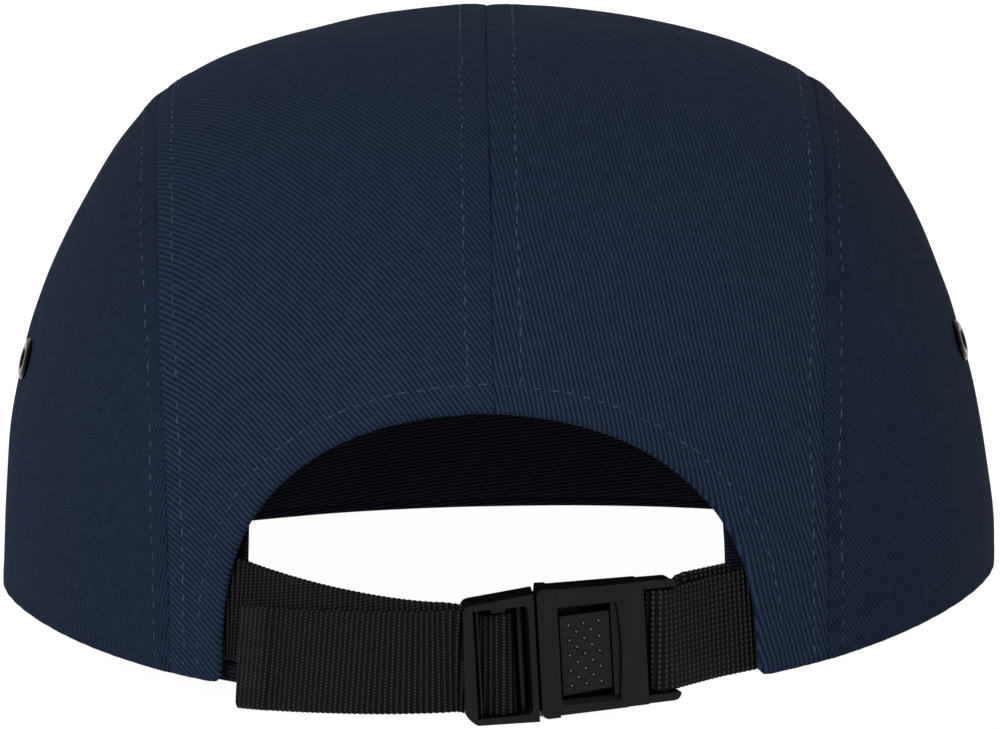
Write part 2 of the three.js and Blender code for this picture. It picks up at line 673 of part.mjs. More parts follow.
function adjusterStrap() {
  const up = upTheWall(-STRAP_CORNER_X, LEFT_STRAP_CORNER_Z);
  const tilted = new THREE.Vector3(0, 0, 1).transformDirection(SLIDE_FRAME);
  const corner = strapInWall(-STRAP_CORNER_X, LEFT_STRAP_CORNER_Z);
  const slideEnd = -SLIDE_LENGTH / 2;
  const entry = inFrame(SLIDE_FRAME, slideEnd, 0);
  const stations = hiddenStations(-1, LEFT_STRAP_CORNER_Z);
  const steps = 8;
  for (let i = 0; i <= steps; i += 1) {
    const x = THREE.MathUtils.lerp(corner.x, entry.middle.x - STRAP_ENTRY_RUN, i / steps);
    const sweep = Math.pow((x - entry.middle.x) / (corner.x - entry.middle.x), STRAP_SWEEP_POWER);
    const z = THREE.MathUtils.lerp(entry.middle.z, LEFT_STRAP_CORNER_Z, sweep);
    const across = up.clone().lerp(tilted, smoothStep(i / steps, 0.5, 1));
    stations.push({ middle: leftStrapPoint(x, 0, z), across, thickness: WEBBING_THICKNESS });
  }
  stations.push(entry);
  const wrapSteps = 8;
  for (let i = 0; i <= wrapSteps; i += 1) {
    const degrees = THREE.MathUtils.lerp(WRAP_START_TURN, WRAP_END_TURN, i / wrapSteps);
    const angle = THREE.MathUtils.degToRad(degrees);
    stations.push(inFrame(SLIDE_FRAME, WRAP_RADIUS * Math.cos(angle), WRAP_RADIUS * (1 + Math.sin(angle))));
  }
  stations.push(inFrame(SLIDE_FRAME, slideEnd + SLIDE_LEFT_BAR, LAYER_STEP));
  stations.push(inFrame(SLIDE_FRAME, slideEnd, LAYER_STEP));
  const foldShare = TAIL_FOLD_LENGTH / Math.abs(TAIL_END_X - entry.middle.x);
  const foldStart = 1 - foldShare;
  for (const share of [0.1, 0.25, 0.4, 0.55, 0.7, foldStart - TAIL_STEP_SHARE, foldStart, 1]) {
    const x = THREE.MathUtils.lerp(entry.middle.x, TAIL_END_X, share);
    const z = THREE.MathUtils.lerp(entry.middle.z, TAIL_END_Z, share);
    const folded = share >= foldStart;
    const lift = smoothStep(share, 0.5, foldStart) * WEBBING_THICKNESS / 2;
    const across = tilted.clone().lerp(up, smoothStep(share, 0, 0.5));
    const thickness = folded ? 2 * WEBBING_THICKNESS : WEBBING_THICKNESS;
    stations.push({ middle: leftStrapPoint(x, LAYER_STEP + lift, z), across, thickness });
  }
  return ribbon(stations);
}

function fixedStrap() {
  const up = upTheWall(STRAP_CORNER_X, RIGHT_STRAP_CORNER_Z);
  const tilted = new THREE.Vector3(0, 0, 1).transformDirection(HOUSING_FRAME);
  const stations = hiddenStations(1, RIGHT_STRAP_CORNER_Z);
  const corner = strapInWall(STRAP_CORNER_X, RIGHT_STRAP_CORNER_Z);
  const barX = HOUSING_LENGTH / 2 - HOUSING_BAR_INSET;
  const bar = new THREE.Vector3(barX, 0, 0).applyMatrix4(HOUSING_FRAME);
  const run = corner.clone().sub(bar);
  const flat = new THREE.Vector3(run.x, run.y, 0).normalize();
  const outward = new THREE.Vector3(flat.y, -flat.x, 0);
  const free = [0, 0.2, 0.4, 0.6, 0.8];
  const layerOut = (share) => WRAP_RADIUS * smoothStep(share, LOOP_OPENS_FROM, LOOP_OPENS_TO);
  for (const share of free) {
    const middle = corner.clone().lerp(bar, share).addScaledVector(outward, layerOut(share));
    stations.push({ middle, across: up.clone().lerp(tilted, share), thickness: WEBBING_THICKNESS });
  }
  const wrapSteps = 8;
  for (let i = 0; i <= wrapSteps; i += 1) {
    const angle = Math.PI * i / wrapSteps;
    const middle = bar.clone()
      .addScaledVector(outward, WRAP_RADIUS * Math.cos(angle))
      .addScaledVector(flat, -WRAP_RADIUS * Math.sin(angle));
    stations.push({ middle, across: tilted, thickness: WEBBING_THICKNESS });
  }
  const returnShare = (corner.x - FIXED_RETURN_X) / (corner.x - bar.x);
  for (const share of [0.8, 0.6, returnShare]) {
    const opened = smoothStep(share, LOOP_OPENS_FROM, LOOP_OPENS_TO);
    const out = layerOut(share) - THREE.MathUtils.lerp(LAYER_STEP, 2 * WRAP_RADIUS, opened);
    const middle = corner.clone().lerp(bar, share).addScaledVector(outward, out);
    stations.push({ middle, across: up.clone().lerp(tilted, share), thickness: WEBBING_THICKNESS });
  }
  return ribbon(stations);
}

// Solids for joins and cuts

function toSolid(geometry) {
  const bare = geometry.clone();
  bare.deleteAttribute('normal');
  bare.deleteAttribute('uv');
  const merged = mergeVertices(bare, 1e-5);
  return new wasm.Manifold(new wasm.Mesh({
    numProp: 3,
    vertProperties: new Float32Array(merged.attributes.position.array),
    triVerts: new Uint32Array(merged.index.array),
  }));
}

function toGeometry(solid) {
  const mesh = solid.getMesh();
  const geometry = new THREE.BufferGeometry();
  geometry.setAttribute('position', new THREE.Float32BufferAttribute(mesh.vertProperties, 3));
  geometry.setIndex(Array.from(mesh.triVerts));
  return geometry;
}

// A block given by its limits along the buckle half, out of its face and up.
function blockGeometry(x0, x1, out0, out1, z0, z1) {
  const geometry = new THREE.BoxGeometry(x1 - x0, out1 - out0, z1 - z0);
  geometry.translate((x0 + x1) / 2, -(out0 + out1) / 2, (z0 + z1) / 2);
  return geometry;
}

function block(...limits) {
  return toSolid(blockGeometry(...limits));
}

// A plate with round corners whose height changes from its left end to its right end.
function plate({ x0, x1, leftHeight, rightHeight, out0, out1, radius }) {
  const shape = new THREE.Shape();
  const l = leftHeight / 2;
  const r = rightHeight / 2;
  shape.moveTo(x0 + radius, -l);
  shape.lineTo(x1 - radius, -r);
  shape.quadraticCurveTo(x1, -r, x1, -r + radius);
  shape.lineTo(x1, r - radius);
  shape.quadraticCurveTo(x1, r, x1 - radius, r);
  shape.lineTo(x0 + radius, l);
  shape.quadraticCurveTo(x0, l, x0, l - radius);
  shape.lineTo(x0, -l + radius);
  shape.quadraticCurveTo(x0, -l, x0 + radius, -l);
  const depth = out1 - out0;
  const geometry = new THREE.ExtrudeGeometry(shape, { depth, bevelEnabled: false, curveSegments: 3 });
  geometry.rotateX(Math.PI / 2);
  geometry.translate(0, -out0, 0);
  return toSolid(geometry);
}

function roundBar(x, out, halfLength) {
  const geometry = new THREE.CylinderGeometry(ROUND_BAR_RADIUS, ROUND_BAR_RADIUS, 2 * halfLength, 10);
  geometry.rotateX(Math.PI / 2);
  geometry.translate(x, -out, 0);
  return toSolid(geometry);
}

// A distance past everything in the buckle, and the overlap that joins two cuts cleanly.
const FAR = 20;
const CUT_OVERLAP = 0.1;

function slideFrame() {
  const half = SLIDE_LENGTH / 2;
  const open = BUCKLE_WINDOW_HALF_HEIGHT;
  const barEdge = -half + SLIDE_LEFT_BAR;
  const barBack = LAYER_STEP + WEBBING_THICKNESS / 2 + WEBBING_CLEARANCE + SLIDE_SLOT_SPARE;
  const body = plate({
    x0: -half, x1: half, leftHeight: SLIDE_LEFT_HEIGHT, rightHeight: SLIDE_RIGHT_HEIGHT,
    out0: SLIDE_BACK, out1: SLIDE_FACE, radius: SLIDE_CORNER_RADIUS,
  });
  const window = block(barEdge, half - SLIDE_RIGHT_BAR, -FAR, FAR, -open, open);
  const slot = block(-FAR, barEdge + CUT_OVERLAP, -FAR, barBack, -open, open);
  const innerBarX = WRAP_RADIUS + WEBBING_THICKNESS / 2 + WEBBING_CLEARANCE;
  const rooted = open + BAR_ROOT;
  const innerBar = block(innerBarX, innerBarX + INNER_BAR_WIDTH, 0, INNER_BAR_FACE, -rooted, rooted);
  return body.subtract(window).subtract(slot)
    .add(roundBar(0, WRAP_RADIUS, rooted))
    .add(innerBar);
}

// The tongue is drawn in the housing's frame and reaches back to the slide.
function tongueInHousing() {
  const face = HOUSING_THICKNESS / 2 - TONGUE_RECESS;
  const left = -HOUSING_LENGTH / 2 + HOUSING_FLANGE_LENGTH;
  const tongue = plate({
    x0: left - TONGUE_INSET, x1: left - TONGUE_INSET + TONGUE_LENGTH, leftHeight: TONGUE_LEFT_HEIGHT,
    rightHeight: TONGUE_RIGHT_HEIGHT, out0: face - TONGUE_THICKNESS, out1: face, radius: TONGUE_CORNER_RADIUS,
  });
  const neck = block(
    left - TONGUE_NECK_BEFORE, left + TONGUE_NECK_AFTER, face - TONGUE_THICKNESS, face - TONGUE_NECK_STEP,
    -TONGUE_NECK_HALF_HEIGHT, TONGUE_NECK_HALF_HEIGHT,
  );
  return toGeometry(tongue.add(neck)).rotateY(-TONGUE_ROLL);
}

function buckleSlide() {
  const toSlide = SLIDE_FRAME.clone().invert().multiply(HOUSING_FRAME);
  const tongue = tongueInHousing().applyMatrix4(toSlide);
  return toGeometry(slideFrame().add(toSolid(tongue)));
}

function buckleHousing() {
  const half = HOUSING_LENGTH / 2;
  const face = HOUSING_THICKNESS / 2;
  const open = BUCKLE_WINDOW_HALF_HEIGHT;
  const flangeEnd = -half + HOUSING_FLANGE_LENGTH;
  const slotStart = half - HOUSING_SLOT_LENGTH;
  const body = plate({
    x0: -half - HOUSING_END_TRIM, x1: half, leftHeight: HOUSING_LEFT_HEIGHT,
    rightHeight: HOUSING_RIGHT_HEIGHT, out0: -face, out1: face, radius: HOUSING_CORNER_RADIUS,
  });
  const slideRoom = toSolid(blockGeometry(-FAR, SLIDE_LENGTH / 2 + BUCKLE_CLEARANCE, -FAR, FAR, -FAR, FAR)
    .applyMatrix4(HOUSING_FRAME.clone().invert().multiply(SLIDE_FRAME)));
  const flange = plate({
    x0: -half - HOUSING_END_TRIM, x1: flangeEnd, leftHeight: HOUSING_FLANGE_LEFT_HEIGHT,
    rightHeight: HOUSING_FLANGE_RIGHT_HEIGHT, out0: -face, out1: face + HOUSING_FLANGE_RISE,
    radius: HOUSING_CORNER_RADIUS,
  });
  const cavity = block(
    -FAR, flangeEnd + CAVITY_REACH, -face + HOUSING_BACK_WALL, face - HOUSING_WALL,
    -CAVITY_HEIGHT / 2, CAVITY_HEIGHT / 2,
  );
  const pushWindow = plate({
    x0: flangeEnd + PUSH_WINDOW_INSET, x1: flangeEnd + PUSH_WINDOW_INSET + PUSH_WINDOW_LENGTH,
    leftHeight: PUSH_WINDOW_HEIGHT, rightHeight: PUSH_WINDOW_HEIGHT, out0: 0, out1: FAR,
    radius: PUSH_WINDOW_RADIUS,
  });
  const slot = block(slotStart, FAR, -FAR, FAR, -open, open);
  const armFace = block(slotStart, FAR, ARM_THICKNESS / 2, FAR, -FAR, FAR);
  const armBack = block(slotStart, FAR, -FAR, -ARM_THICKNESS / 2, -FAR, FAR);
  return toGeometry(body.add(flange).subtract(cavity).subtract(pushWindow)
    .subtract(slot).subtract(armFace).subtract(armBack).subtract(slideRoom)
    .add(roundBar(half - HOUSING_BAR_INSET, 0, open + HOUSING_BAR_ROOT)));
}

// Eyelets

function eyeletSeat(side) {
  const p = crownAtTurn(side * Math.PI / 2, EYELET_HEIGHT);
  const seat = ontoCrown(new THREE.Vector3(p.x, EYELET_Y, EYELET_HEIGHT));
  const turn = new THREE.Quaternion().setFromUnitVectors(new THREE.Vector3(0, 0, 1), crownNormal(seat));
  return new THREE.Matrix4().compose(seat, turn, new THREE.Vector3(1, 1, 1));
}

function eyelet(side) {
  const back = -TWILL_WALL - EYELET_CLEARANCE;
  const front = EYELET_CLEARANCE + EYELET_FLANGE;
  const shoulder = EYELET_CLEARANCE + EYELET_SHOULDER_SHARE * EYELET_FLANGE;
  const profile = [
    [EYELET_BORE_RADIUS, back],
    [EYELET_BARREL_RADIUS, back],
    [EYELET_BARREL_RADIUS, EYELET_CLEARANCE],
    [EYELET_RADIUS, EYELET_CLEARANCE],
    [EYELET_RADIUS - EYELET_EDGE_ROUND, shoulder],
    [EYELET_RADIUS - EYELET_CREST_INSET, front],
    [EYELET_BORE_RADIUS + EYELET_BORE_ROUND, shoulder],
    [EYELET_BORE_RADIUS, back],
  ].map(([r, h]) => new THREE.Vector2(r, h));
  const geometry = new THREE.LatheGeometry(profile, 20);
  geometry.rotateX(Math.PI / 2);
  return geometry.applyMatrix4(eyeletSeat(side));
}

function withEyeletHole(panel, side) {
  const radius = EYELET_BARREL_RADIUS + EYELET_CLEARANCE;
  const drill = new THREE.CylinderGeometry(radius, radius, 8 * TWILL_WALL, 16);
  drill.rotateX(Math.PI / 2);
  return toGeometry(toSolid(panel).subtract(toSolid(drill.applyMatrix4(eyeletSeat(side)))));
}

// Assembly

function lowest(geometry) {
  geometry.computeBoundingBox();
  return geometry.boundingBox.min.z;
}

const cap = new THREE.Group();

function addPiece(name, geometry, finish) {
  const mesh = new THREE.Mesh(geometry, new THREE.MeshStandardMaterial(FINISHES[finish]));
  mesh.name = name;
  cap.add(mesh);
}

const slide = buckleSlide().applyMatrix4(SLIDE_FRAME);
const adjuster = adjusterStrap();
const floor = Math.min(lowest(slide), lowest(adjuster));

addPiece('front_panel', frontPanel(), 'twill');
for (const [name, side] of [['left', -1], ['right', 1]]) {
  addPiece(`side_panel_${name}`, withEyeletHole(sidePanel(side), side), 'twill');
  addPiece(`back_panel_${name}`, backPanel(side), 'twill');
  addPiece(`eyelet_${name}`, eyelet(side), 'metal');
}
addPiece('sweatband', sweatband(), 'band');
addPiece('peak', peak(floor), 'twill');
addPiece('adjuster_strap', adjuster, 'webbing');
addPiece('fixed_strap', fixedStrap(), 'webbing');
addPiece('buckle_slide', slide, 'plastic');
addPiece('buckle_housing', buckleHousing().applyMatrix4(HOUSING_FRAME), 'plastic');

const box = new THREE.Box3().setFromObject(cap);
cap.position.set(-(box.min.x + box.max.x) / 2, -(box.min.y + box.max.y) / 2, -floor);

export default cap;
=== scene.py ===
"""The looks of a navy cotton twill five panel cap, seen from behind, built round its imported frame.

The crown is worked out in millimetres in its own frame, with z = 0 at the rear corners of its rim, and
every finished piece is moved to the row's frame, in metres.
"""

import logging
import math
from dataclasses import dataclass, field
from enum import Enum
from typing import Callable, Sequence

import bmesh
import bpy
import numpy as np
from mathutils import Matrix, Vector
from mathutils.kdtree import KDTree

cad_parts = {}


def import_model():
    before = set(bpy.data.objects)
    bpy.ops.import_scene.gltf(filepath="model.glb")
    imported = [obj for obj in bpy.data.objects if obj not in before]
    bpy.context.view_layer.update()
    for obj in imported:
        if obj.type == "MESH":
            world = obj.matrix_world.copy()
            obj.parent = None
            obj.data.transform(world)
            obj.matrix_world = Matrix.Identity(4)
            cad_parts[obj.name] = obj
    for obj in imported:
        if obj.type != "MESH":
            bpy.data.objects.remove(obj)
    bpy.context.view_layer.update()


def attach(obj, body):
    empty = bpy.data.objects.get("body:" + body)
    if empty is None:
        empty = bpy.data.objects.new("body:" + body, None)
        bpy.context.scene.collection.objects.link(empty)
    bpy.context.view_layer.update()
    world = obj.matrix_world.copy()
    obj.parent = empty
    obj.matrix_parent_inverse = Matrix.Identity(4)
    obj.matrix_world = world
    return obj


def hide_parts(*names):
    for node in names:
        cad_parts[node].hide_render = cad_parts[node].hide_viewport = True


LOG = logging.getLogger("five_panel_cap")

MM = 0.001
ROW_SHIFT = np.array([0.0, -32.2381, 3.411])
IMAGE_WIDTH = 1000
IMAGE_HEIGHT = 729
FIRST_SEED = 5

Points = np.ndarray


def smooth_step(value: np.ndarray, start: float, end: float) -> np.ndarray:
    """Eases from 0 to 1 between two limits.

    Args:
        value: The values to ease.
        start: Where the result leaves 0.
        end: Where the result reaches 1.

    Returns:
        The eased values.
    """
    t = np.clip((np.asarray(value, float) - start) / (end - start), 0.0, 1.0)
    return t * t * (3.0 - 2.0 * t)


def unit(vectors: Points) -> Points:
    """Returns vectors scaled to length 1."""
    return vectors / np.maximum(np.linalg.norm(vectors, axis=-1, keepdims=True), 1e-12)


def arc_lengths(points: Points) -> np.ndarray:
    """Returns the length along a line of points at each of them."""
    steps = np.linalg.norm(np.diff(points, axis=0), axis=1)
    return np.concatenate([[0.0], np.cumsum(steps)])


def resample(points: Points, shares: np.ndarray) -> Points:
    """Takes points along a line at shares of its length.

    Args:
        points: The line's points.
        shares: The shares of its length, from 0 to 1.

    Returns:
        One point for each share.
    """
    along = arc_lengths(points)
    wanted = np.asarray(shares) * along[-1]
    return np.stack([np.interp(wanted, along, points[:, k]) for k in range(3)], axis=1)


def soft_noise(points: Points, seed: int, wavelength: float, waves: int = 14) -> np.ndarray:
    """Sums plane waves of random directions into a smooth field of about -1 to 1.

    Args:
        points: Where the field is read, in millimetres.
        seed: The seed of its waves.
        wavelength: The middle wavelength, in millimetres.
        waves: How many waves it sums.

    Returns:
        One value for each point.
    """
    rng = np.random.default_rng(seed)
    total = np.zeros(points.shape[:-1])
    for _ in range(waves):
        direction = unit(rng.normal(size=3))
        length = wavelength * rng.uniform(0.7, 1.6)
        total += np.sin(points @ direction * (2 * math.pi / length) + rng.uniform(0, 2 * math.pi))
    return total / math.sqrt(waves)


@dataclass(frozen=True)
class CrownForm:
    """The smooth form that all five panels lie on, in millimetres."""

    half_width: float = 94.1
    half_length: float = 98.9
    height: float = 112.1
    forward_lean: float = 12.2
    rear_power: float = 1.78
    front_power: float = 2.15
    side_power: float = 2.5
    side_rise: float = 6.2
    front_rise: float = 2.5
    rim_low_beyond: float = 4.5
    ridge_height: float = 2.9
    ridge_spread: float = 19.3
    ridge_x: float = 61.0
    ridge_starts_at: float = 0.3
    ridge_full_at: float = 0.8

    @property
    def lean(self) -> float:
        """How far the crown leans forward for each millimetre of height."""
        return self.forward_lean / self.height

    def reach(self, p: Points) -> np.ndarray:
        """Returns 1 on the smooth form, less inside it, and in proportion along a ray.

        Args:
            p: Points in the crown's millimetres.

        Returns:
            One share for each point.
        """
        y = p[..., 1] - self.lean * p[..., 2]
        power = np.where(y < 0, self.rear_power, self.front_power)
        plan = np.abs(p[..., 0] / self.half_width) ** power + np.abs(y / self.half_length) ** power
        side = np.abs(p[..., 2] / self.height) ** self.side_power
        return (plan ** (self.side_power / power) + side) ** (1 / self.side_power)

    def onto(self, p: Points) -> Points:
        """Carries points along rays from the middle of the rim to the crown's outer surface.

        Args:
            p: Points anywhere but the middle of the rim.

        Returns:
            The points where their rays leave the crown.
        """
        base = p / self.reach(p)[..., None]
        beside = (np.abs(base[..., 0]) - self.ridge_x) / self.ridge_spread
        shoulder = smooth_step(base[..., 2] / self.height, self.ridge_starts_at, self.ridge_full_at)
        ridge = self.ridge_height * np.exp(-beside * beside) * shoulder
        return base * (1 + ridge / np.linalg.norm(base, axis=-1))[..., None]

    def normal(self, p: Points) -> Points:
        """Returns the outward directions of the crown at points on it.

        Args:
            p: Points on the crown.

        Returns:
            One direction of length 1 for each point.
        """
        ray = unit(p)
        steep = np.abs(ray[..., 2:3]) < 0.9
        helper = np.where(steep, np.array([0.0, 0.0, 1.0]), np.array([1.0, 0.0, 0.0]))
        first = unit(np.cross(helper, ray))
        second = np.cross(ray, first)
        step = 0.05
        a = self.onto(p + first * step) - self.onto(p - first * step)
        b = self.onto(p + second * step) - self.onto(p - second * step)
        return unit(np.cross(a, b))

    def below(self, p: Points, depth: np.ndarray) -> Points:
        """Returns points below the crown's surface by depths."""
        return p - self.normal(p) * np.broadcast_to(depth, p.shape[:-1])[..., None]

    def rim_height(self, y: np.ndarray) -> np.ndarray:
        """Returns the height of the rim, which rises towards the sides and a little at the front.

        Args:
            y: Places from rear to front.

        Returns:
            The height of the rim at each.
        """
        low = np.where(y > 0, self.front_rise, 0.0)
        share = 0.5 + 0.5 * np.cos(np.pi * y / (self.half_length + self.rim_low_beyond))
        return low + (self.side_rise - low) * share

    def at_turn(self, turn: np.ndarray, z: np.ndarray) -> Points:
        """Finds points of the crown round its rim.

        Args:
            turn: The turns round the rim, 0 at the rear and positive to the right, in radians.
            z: The heights.

        Returns:
            One point for each turn.
        """
        turn, z = np.broadcast_arrays(np.asarray(turn, float), np.asarray(z, float))
        power = np.where(np.cos(turn) > 0, self.rear_power, self.front_power)
        shrink = (1 - (np.maximum(z, 0) / self.height) ** self.side_power) ** (1 / self.side_power)
        across = np.sign(np.sin(turn)) * np.abs(np.sin(turn)) ** (2 / power)
        along = np.sign(np.cos(turn)) * np.abs(np.cos(turn)) ** (2 / power)
        x = self.half_width * shrink * across
        y = -self.half_length * shrink * along + self.lean * z
        return self.onto(np.stack([x, y, z], axis=-1))

    def rim(self, turn: np.ndarray, above: float = 0.0) -> Points:
        """Returns points of the crown's edge, or a height above that edge.

        Args:
            turn: The turns round the rim, in radians.
            above: The height above the edge.

        Returns:
            One point for each turn.
        """
        p = self.at_turn(turn, np.full(np.shape(turn), above))
        for _ in range(5):
            p = self.at_turn(turn, self.rim_height(p[..., 1]) + above)
        return p

    def rear_turn(self, x: float) -> float:
        """Returns the turn at which the rim's rear half reaches a distance from the middle line."""
        return math.copysign(math.asin((abs(x) / self.half_width) ** (self.rear_power / 2)), x)

    def front_turn(self, x: float) -> float:
        """Returns the same turn on the front half, to the right."""
        return math.pi - math.asin((x / self.half_width) ** (self.front_power / 2))

    def at_section(self, x: np.ndarray, turn: np.ndarray) -> Points:
        """Finds points of the crown in sections at distances from the middle line.

        Args:
            x: The distances from the middle line.
            turn: The turns in the section: 0 at the rear rim, a quarter turn at the top.

        Returns:
            One point for each pair.
        """
        x, turn = np.broadcast_arrays(np.asarray(x, float), np.asarray(turn, float))
        inside, outside = np.zeros(x.shape), np.full(x.shape, 1.2)
        for _ in range(40):
            middle = (inside + outside) / 2
            z = middle * self.height * np.sin(turn)
            y = -middle * self.half_length * np.cos(turn) + self.lean * z
            within = self.reach(np.stack([x, y, z], axis=-1)) < 1
            inside, outside = np.where(within, middle, inside), np.where(within, outside, middle)
        z = inside * self.height * np.sin(turn)
        y = -inside * self.half_length * np.cos(turn) + self.lean * z
        return self.onto(np.stack([x, y, z], axis=-1))

    def at_rear(self, x: np.ndarray, z: np.ndarray) -> Points:
        """Finds points of the crown's rear seen from behind, by distance from the middle and height.

        Args:
            x: Distances from the middle line.
            z: Heights.

        Returns:
            One point for each pair.
        """
        x, z = np.broadcast_arrays(np.asarray(x, float), np.asarray(z, float))
        shrink = (1 - (z / self.height) ** self.side_power) ** (self.rear_power / self.side_power)
        rest = shrink - (np.abs(x) / self.half_width) ** self.rear_power
        y = -self.half_length * rest ** (1 / self.rear_power) + self.lean * z
        return self.onto(np.stack([x, y, z], axis=-1))


CROWN = CrownForm()


@dataclass(frozen=True)
class SeamPlan:
    """Where the crown's seams and its rear opening lie, in millimetres and radians."""

    side_x: float = 61.0
    side_front_x: float = 57.0
    front_rim_x: float = 70.0
    corner_turn: float = math.radians(120.5)
    middle_turn: float = math.radians(110)
    shoulder_turn: float = math.radians(50)
    arch_left_half_width: float = 50.5
    arch_right_half_width: float = 49.3
    arch_height: float = 52.0
    arch_shift: float = -1.2
    arch_left_power: float = 2.09
    arch_right_power: float = 1.85
    arch_height_power: float = 2.72
    arch_corner_softness: float = 1.5

    def side_seam_start(self) -> float:
        """Returns the turn at which the side seam meets the rim at the rear.

        Returns:
            The turn, in radians.
        """
        turn = 0.0
        for _ in range(30):
            p = CROWN.at_section(np.array(self.side_x), np.array(turn))
            turn += float(CROWN.rim_height(p[1]) - p[2]) / CROWN.height
        return turn

    def side_seam(self, start: float, end: float, side: int) -> Points:
        """Returns the side seam between two turns, on one side.

        Args:
            start: The turn at its first point.
            end: The turn at its last point.
            side: -1 for the left, 1 for the right.

        Returns:
            The seam's points.
        """
        turn = np.linspace(start, end, 400)
        forward = smooth_step(turn, math.pi / 2, self.corner_turn)
        x = self.side_x + (self.side_front_x - self.side_x) * forward
        return CROWN.at_section(side * x, turn)

    def top_seam(self, start: float, end: float) -> Points:
        """Returns the seam over the top between two shares of its half width.

        Args:
            start: The first share, -1 at the left corner.
            end: The last share, 1 at the right corner.

        Returns:
            The seam's points.
        """
        share = np.linspace(start, end, 300)
        bow = 1 - share * share
        return CROWN.at_section(
            share * self.side_front_x, self.corner_turn + (self.middle_turn - self.corner_turn) * bow
        )

    def front_seam(self, side: int) -> Points:
        """Returns the seam from the rim up to the front corner, on one side.

        Args:
            side: -1 for the left, 1 for the right.

        Returns:
            The seam's points.
        """
        foot = CROWN.rim(np.array([side * CROWN.front_turn(self.front_rim_x)]))[0]
        head = CROWN.at_section(np.array(side * self.side_front_x), np.array(self.corner_turn))
        share = np.linspace(0, 1, 300)[:, None]
        return CROWN.onto(foot * (1 - share) + head * share)

    def rim_line(self, start: float, end: float) -> Points:
        """Returns the rim between two turns."""
        return CROWN.rim(np.linspace(start, end, 500))

    def arch_side(self, side: int) -> tuple[float, float]:
        """Returns the opening's half width and the power of its curve on one side.

        Args:
            side: -1 for the left, 1 for the right.

        Returns:
            The half width, in millimetres, and the power.
        """
        if side < 0:
            return self.arch_left_half_width, self.arch_left_power
        return self.arch_right_half_width, self.arch_right_power

    def arch_line(self, side: int) -> Points:
        """Returns one half of the rear opening's edge, from its top to the rim.

        Args:
            side: -1 for the left, 1 for the right.

        Returns:
            The edge's points.
        """
        half_width, power = self.arch_side(side)
        start = math.asin((abs(self.arch_shift) / half_width) ** (power / 2))
        angle = np.linspace(start if side * self.arch_shift < 0 else -start, math.pi / 2, 500)
        across = np.sign(angle) * np.abs(np.sin(angle)) ** (2 / power)
        up = np.maximum(np.cos(angle), 0) ** (2 / self.arch_height_power)
        corner = CROWN.rim(np.array([CROWN.rear_turn(side * half_width + self.arch_shift)]))[0]
        height = corner[2] + (self.arch_height - corner[2]) * up
        return CROWN.at_rear(self.arch_shift + side * half_width * across, height)

    def back_foot(self, side: int) -> Points:
        """Returns a back panel's lower edge: along the arch, round its corner and along the rim.

        Args:
            side: -1 for the left, 1 for the right.

        Returns:
            The edge's points.
        """
        turns = [CROWN.rear_turn(side * self.arch_side(side)[0] + self.arch_shift)]
        turns.append(CROWN.rear_turn(side * self.side_x))
        line = np.concatenate([self.arch_line(side), self.rim_line(turns[0], turns[1])[1:]])
        line = resample(line, np.linspace(0, 1, 1200))
        step = arc_lengths(line)[-1] / 1199
        reach = int(4 * self.arch_corner_softness / step)
        weights = np.exp(-0.5 * (np.arange(-reach, reach + 1) * step / self.arch_corner_softness) ** 2)
        weights /= weights.sum()
        padded = np.concatenate([2 * line[0] - line[reach:0:-1], line, 2 * line[-1] - line[-2:-reach - 2:-1]])
        softened = np.stack([np.convolve(padded[:, k], weights, "valid") for k in range(3)], axis=1)
        return CROWN.onto(softened)


SEAMS = SeamPlan()


class EdgeKind(Enum):
    """How an edge of a panel is finished."""

    CENTRE_SEAM = "centre seam"
    SIDE_SEAM = "side seam"
    FRONT_SEAM = "front seam"
    HEM = "hem"
    RIM = "rim"


@dataclass(frozen=True)
class EdgeFinish:
    """The relief beside an edge, in millimetres."""

    roll: float
    stitch_at: float
    pad_height: float
    pad_reach: float
    groove: float
    pucker: float


EDGE_FINISHES = {
    EdgeKind.CENTRE_SEAM: EdgeFinish(0.3, 5.0, 0.14, 6.4, 0.18, 0.06),
    EdgeKind.SIDE_SEAM: EdgeFinish(0.3, 3.9, 0.2, 5.4, 0.18, 0.09),
    EdgeKind.FRONT_SEAM: EdgeFinish(0.35, 4.0, 0.18, 5.4, 0.18, 0.07),
    EdgeKind.HEM: EdgeFinish(0.85, 5.3, 0.2, 6.2, 0.2, 0.09),
    EdgeKind.RIM: EdgeFinish(0.7, 0.0, 0.08, 4.0, 0.0, 0.05),
}


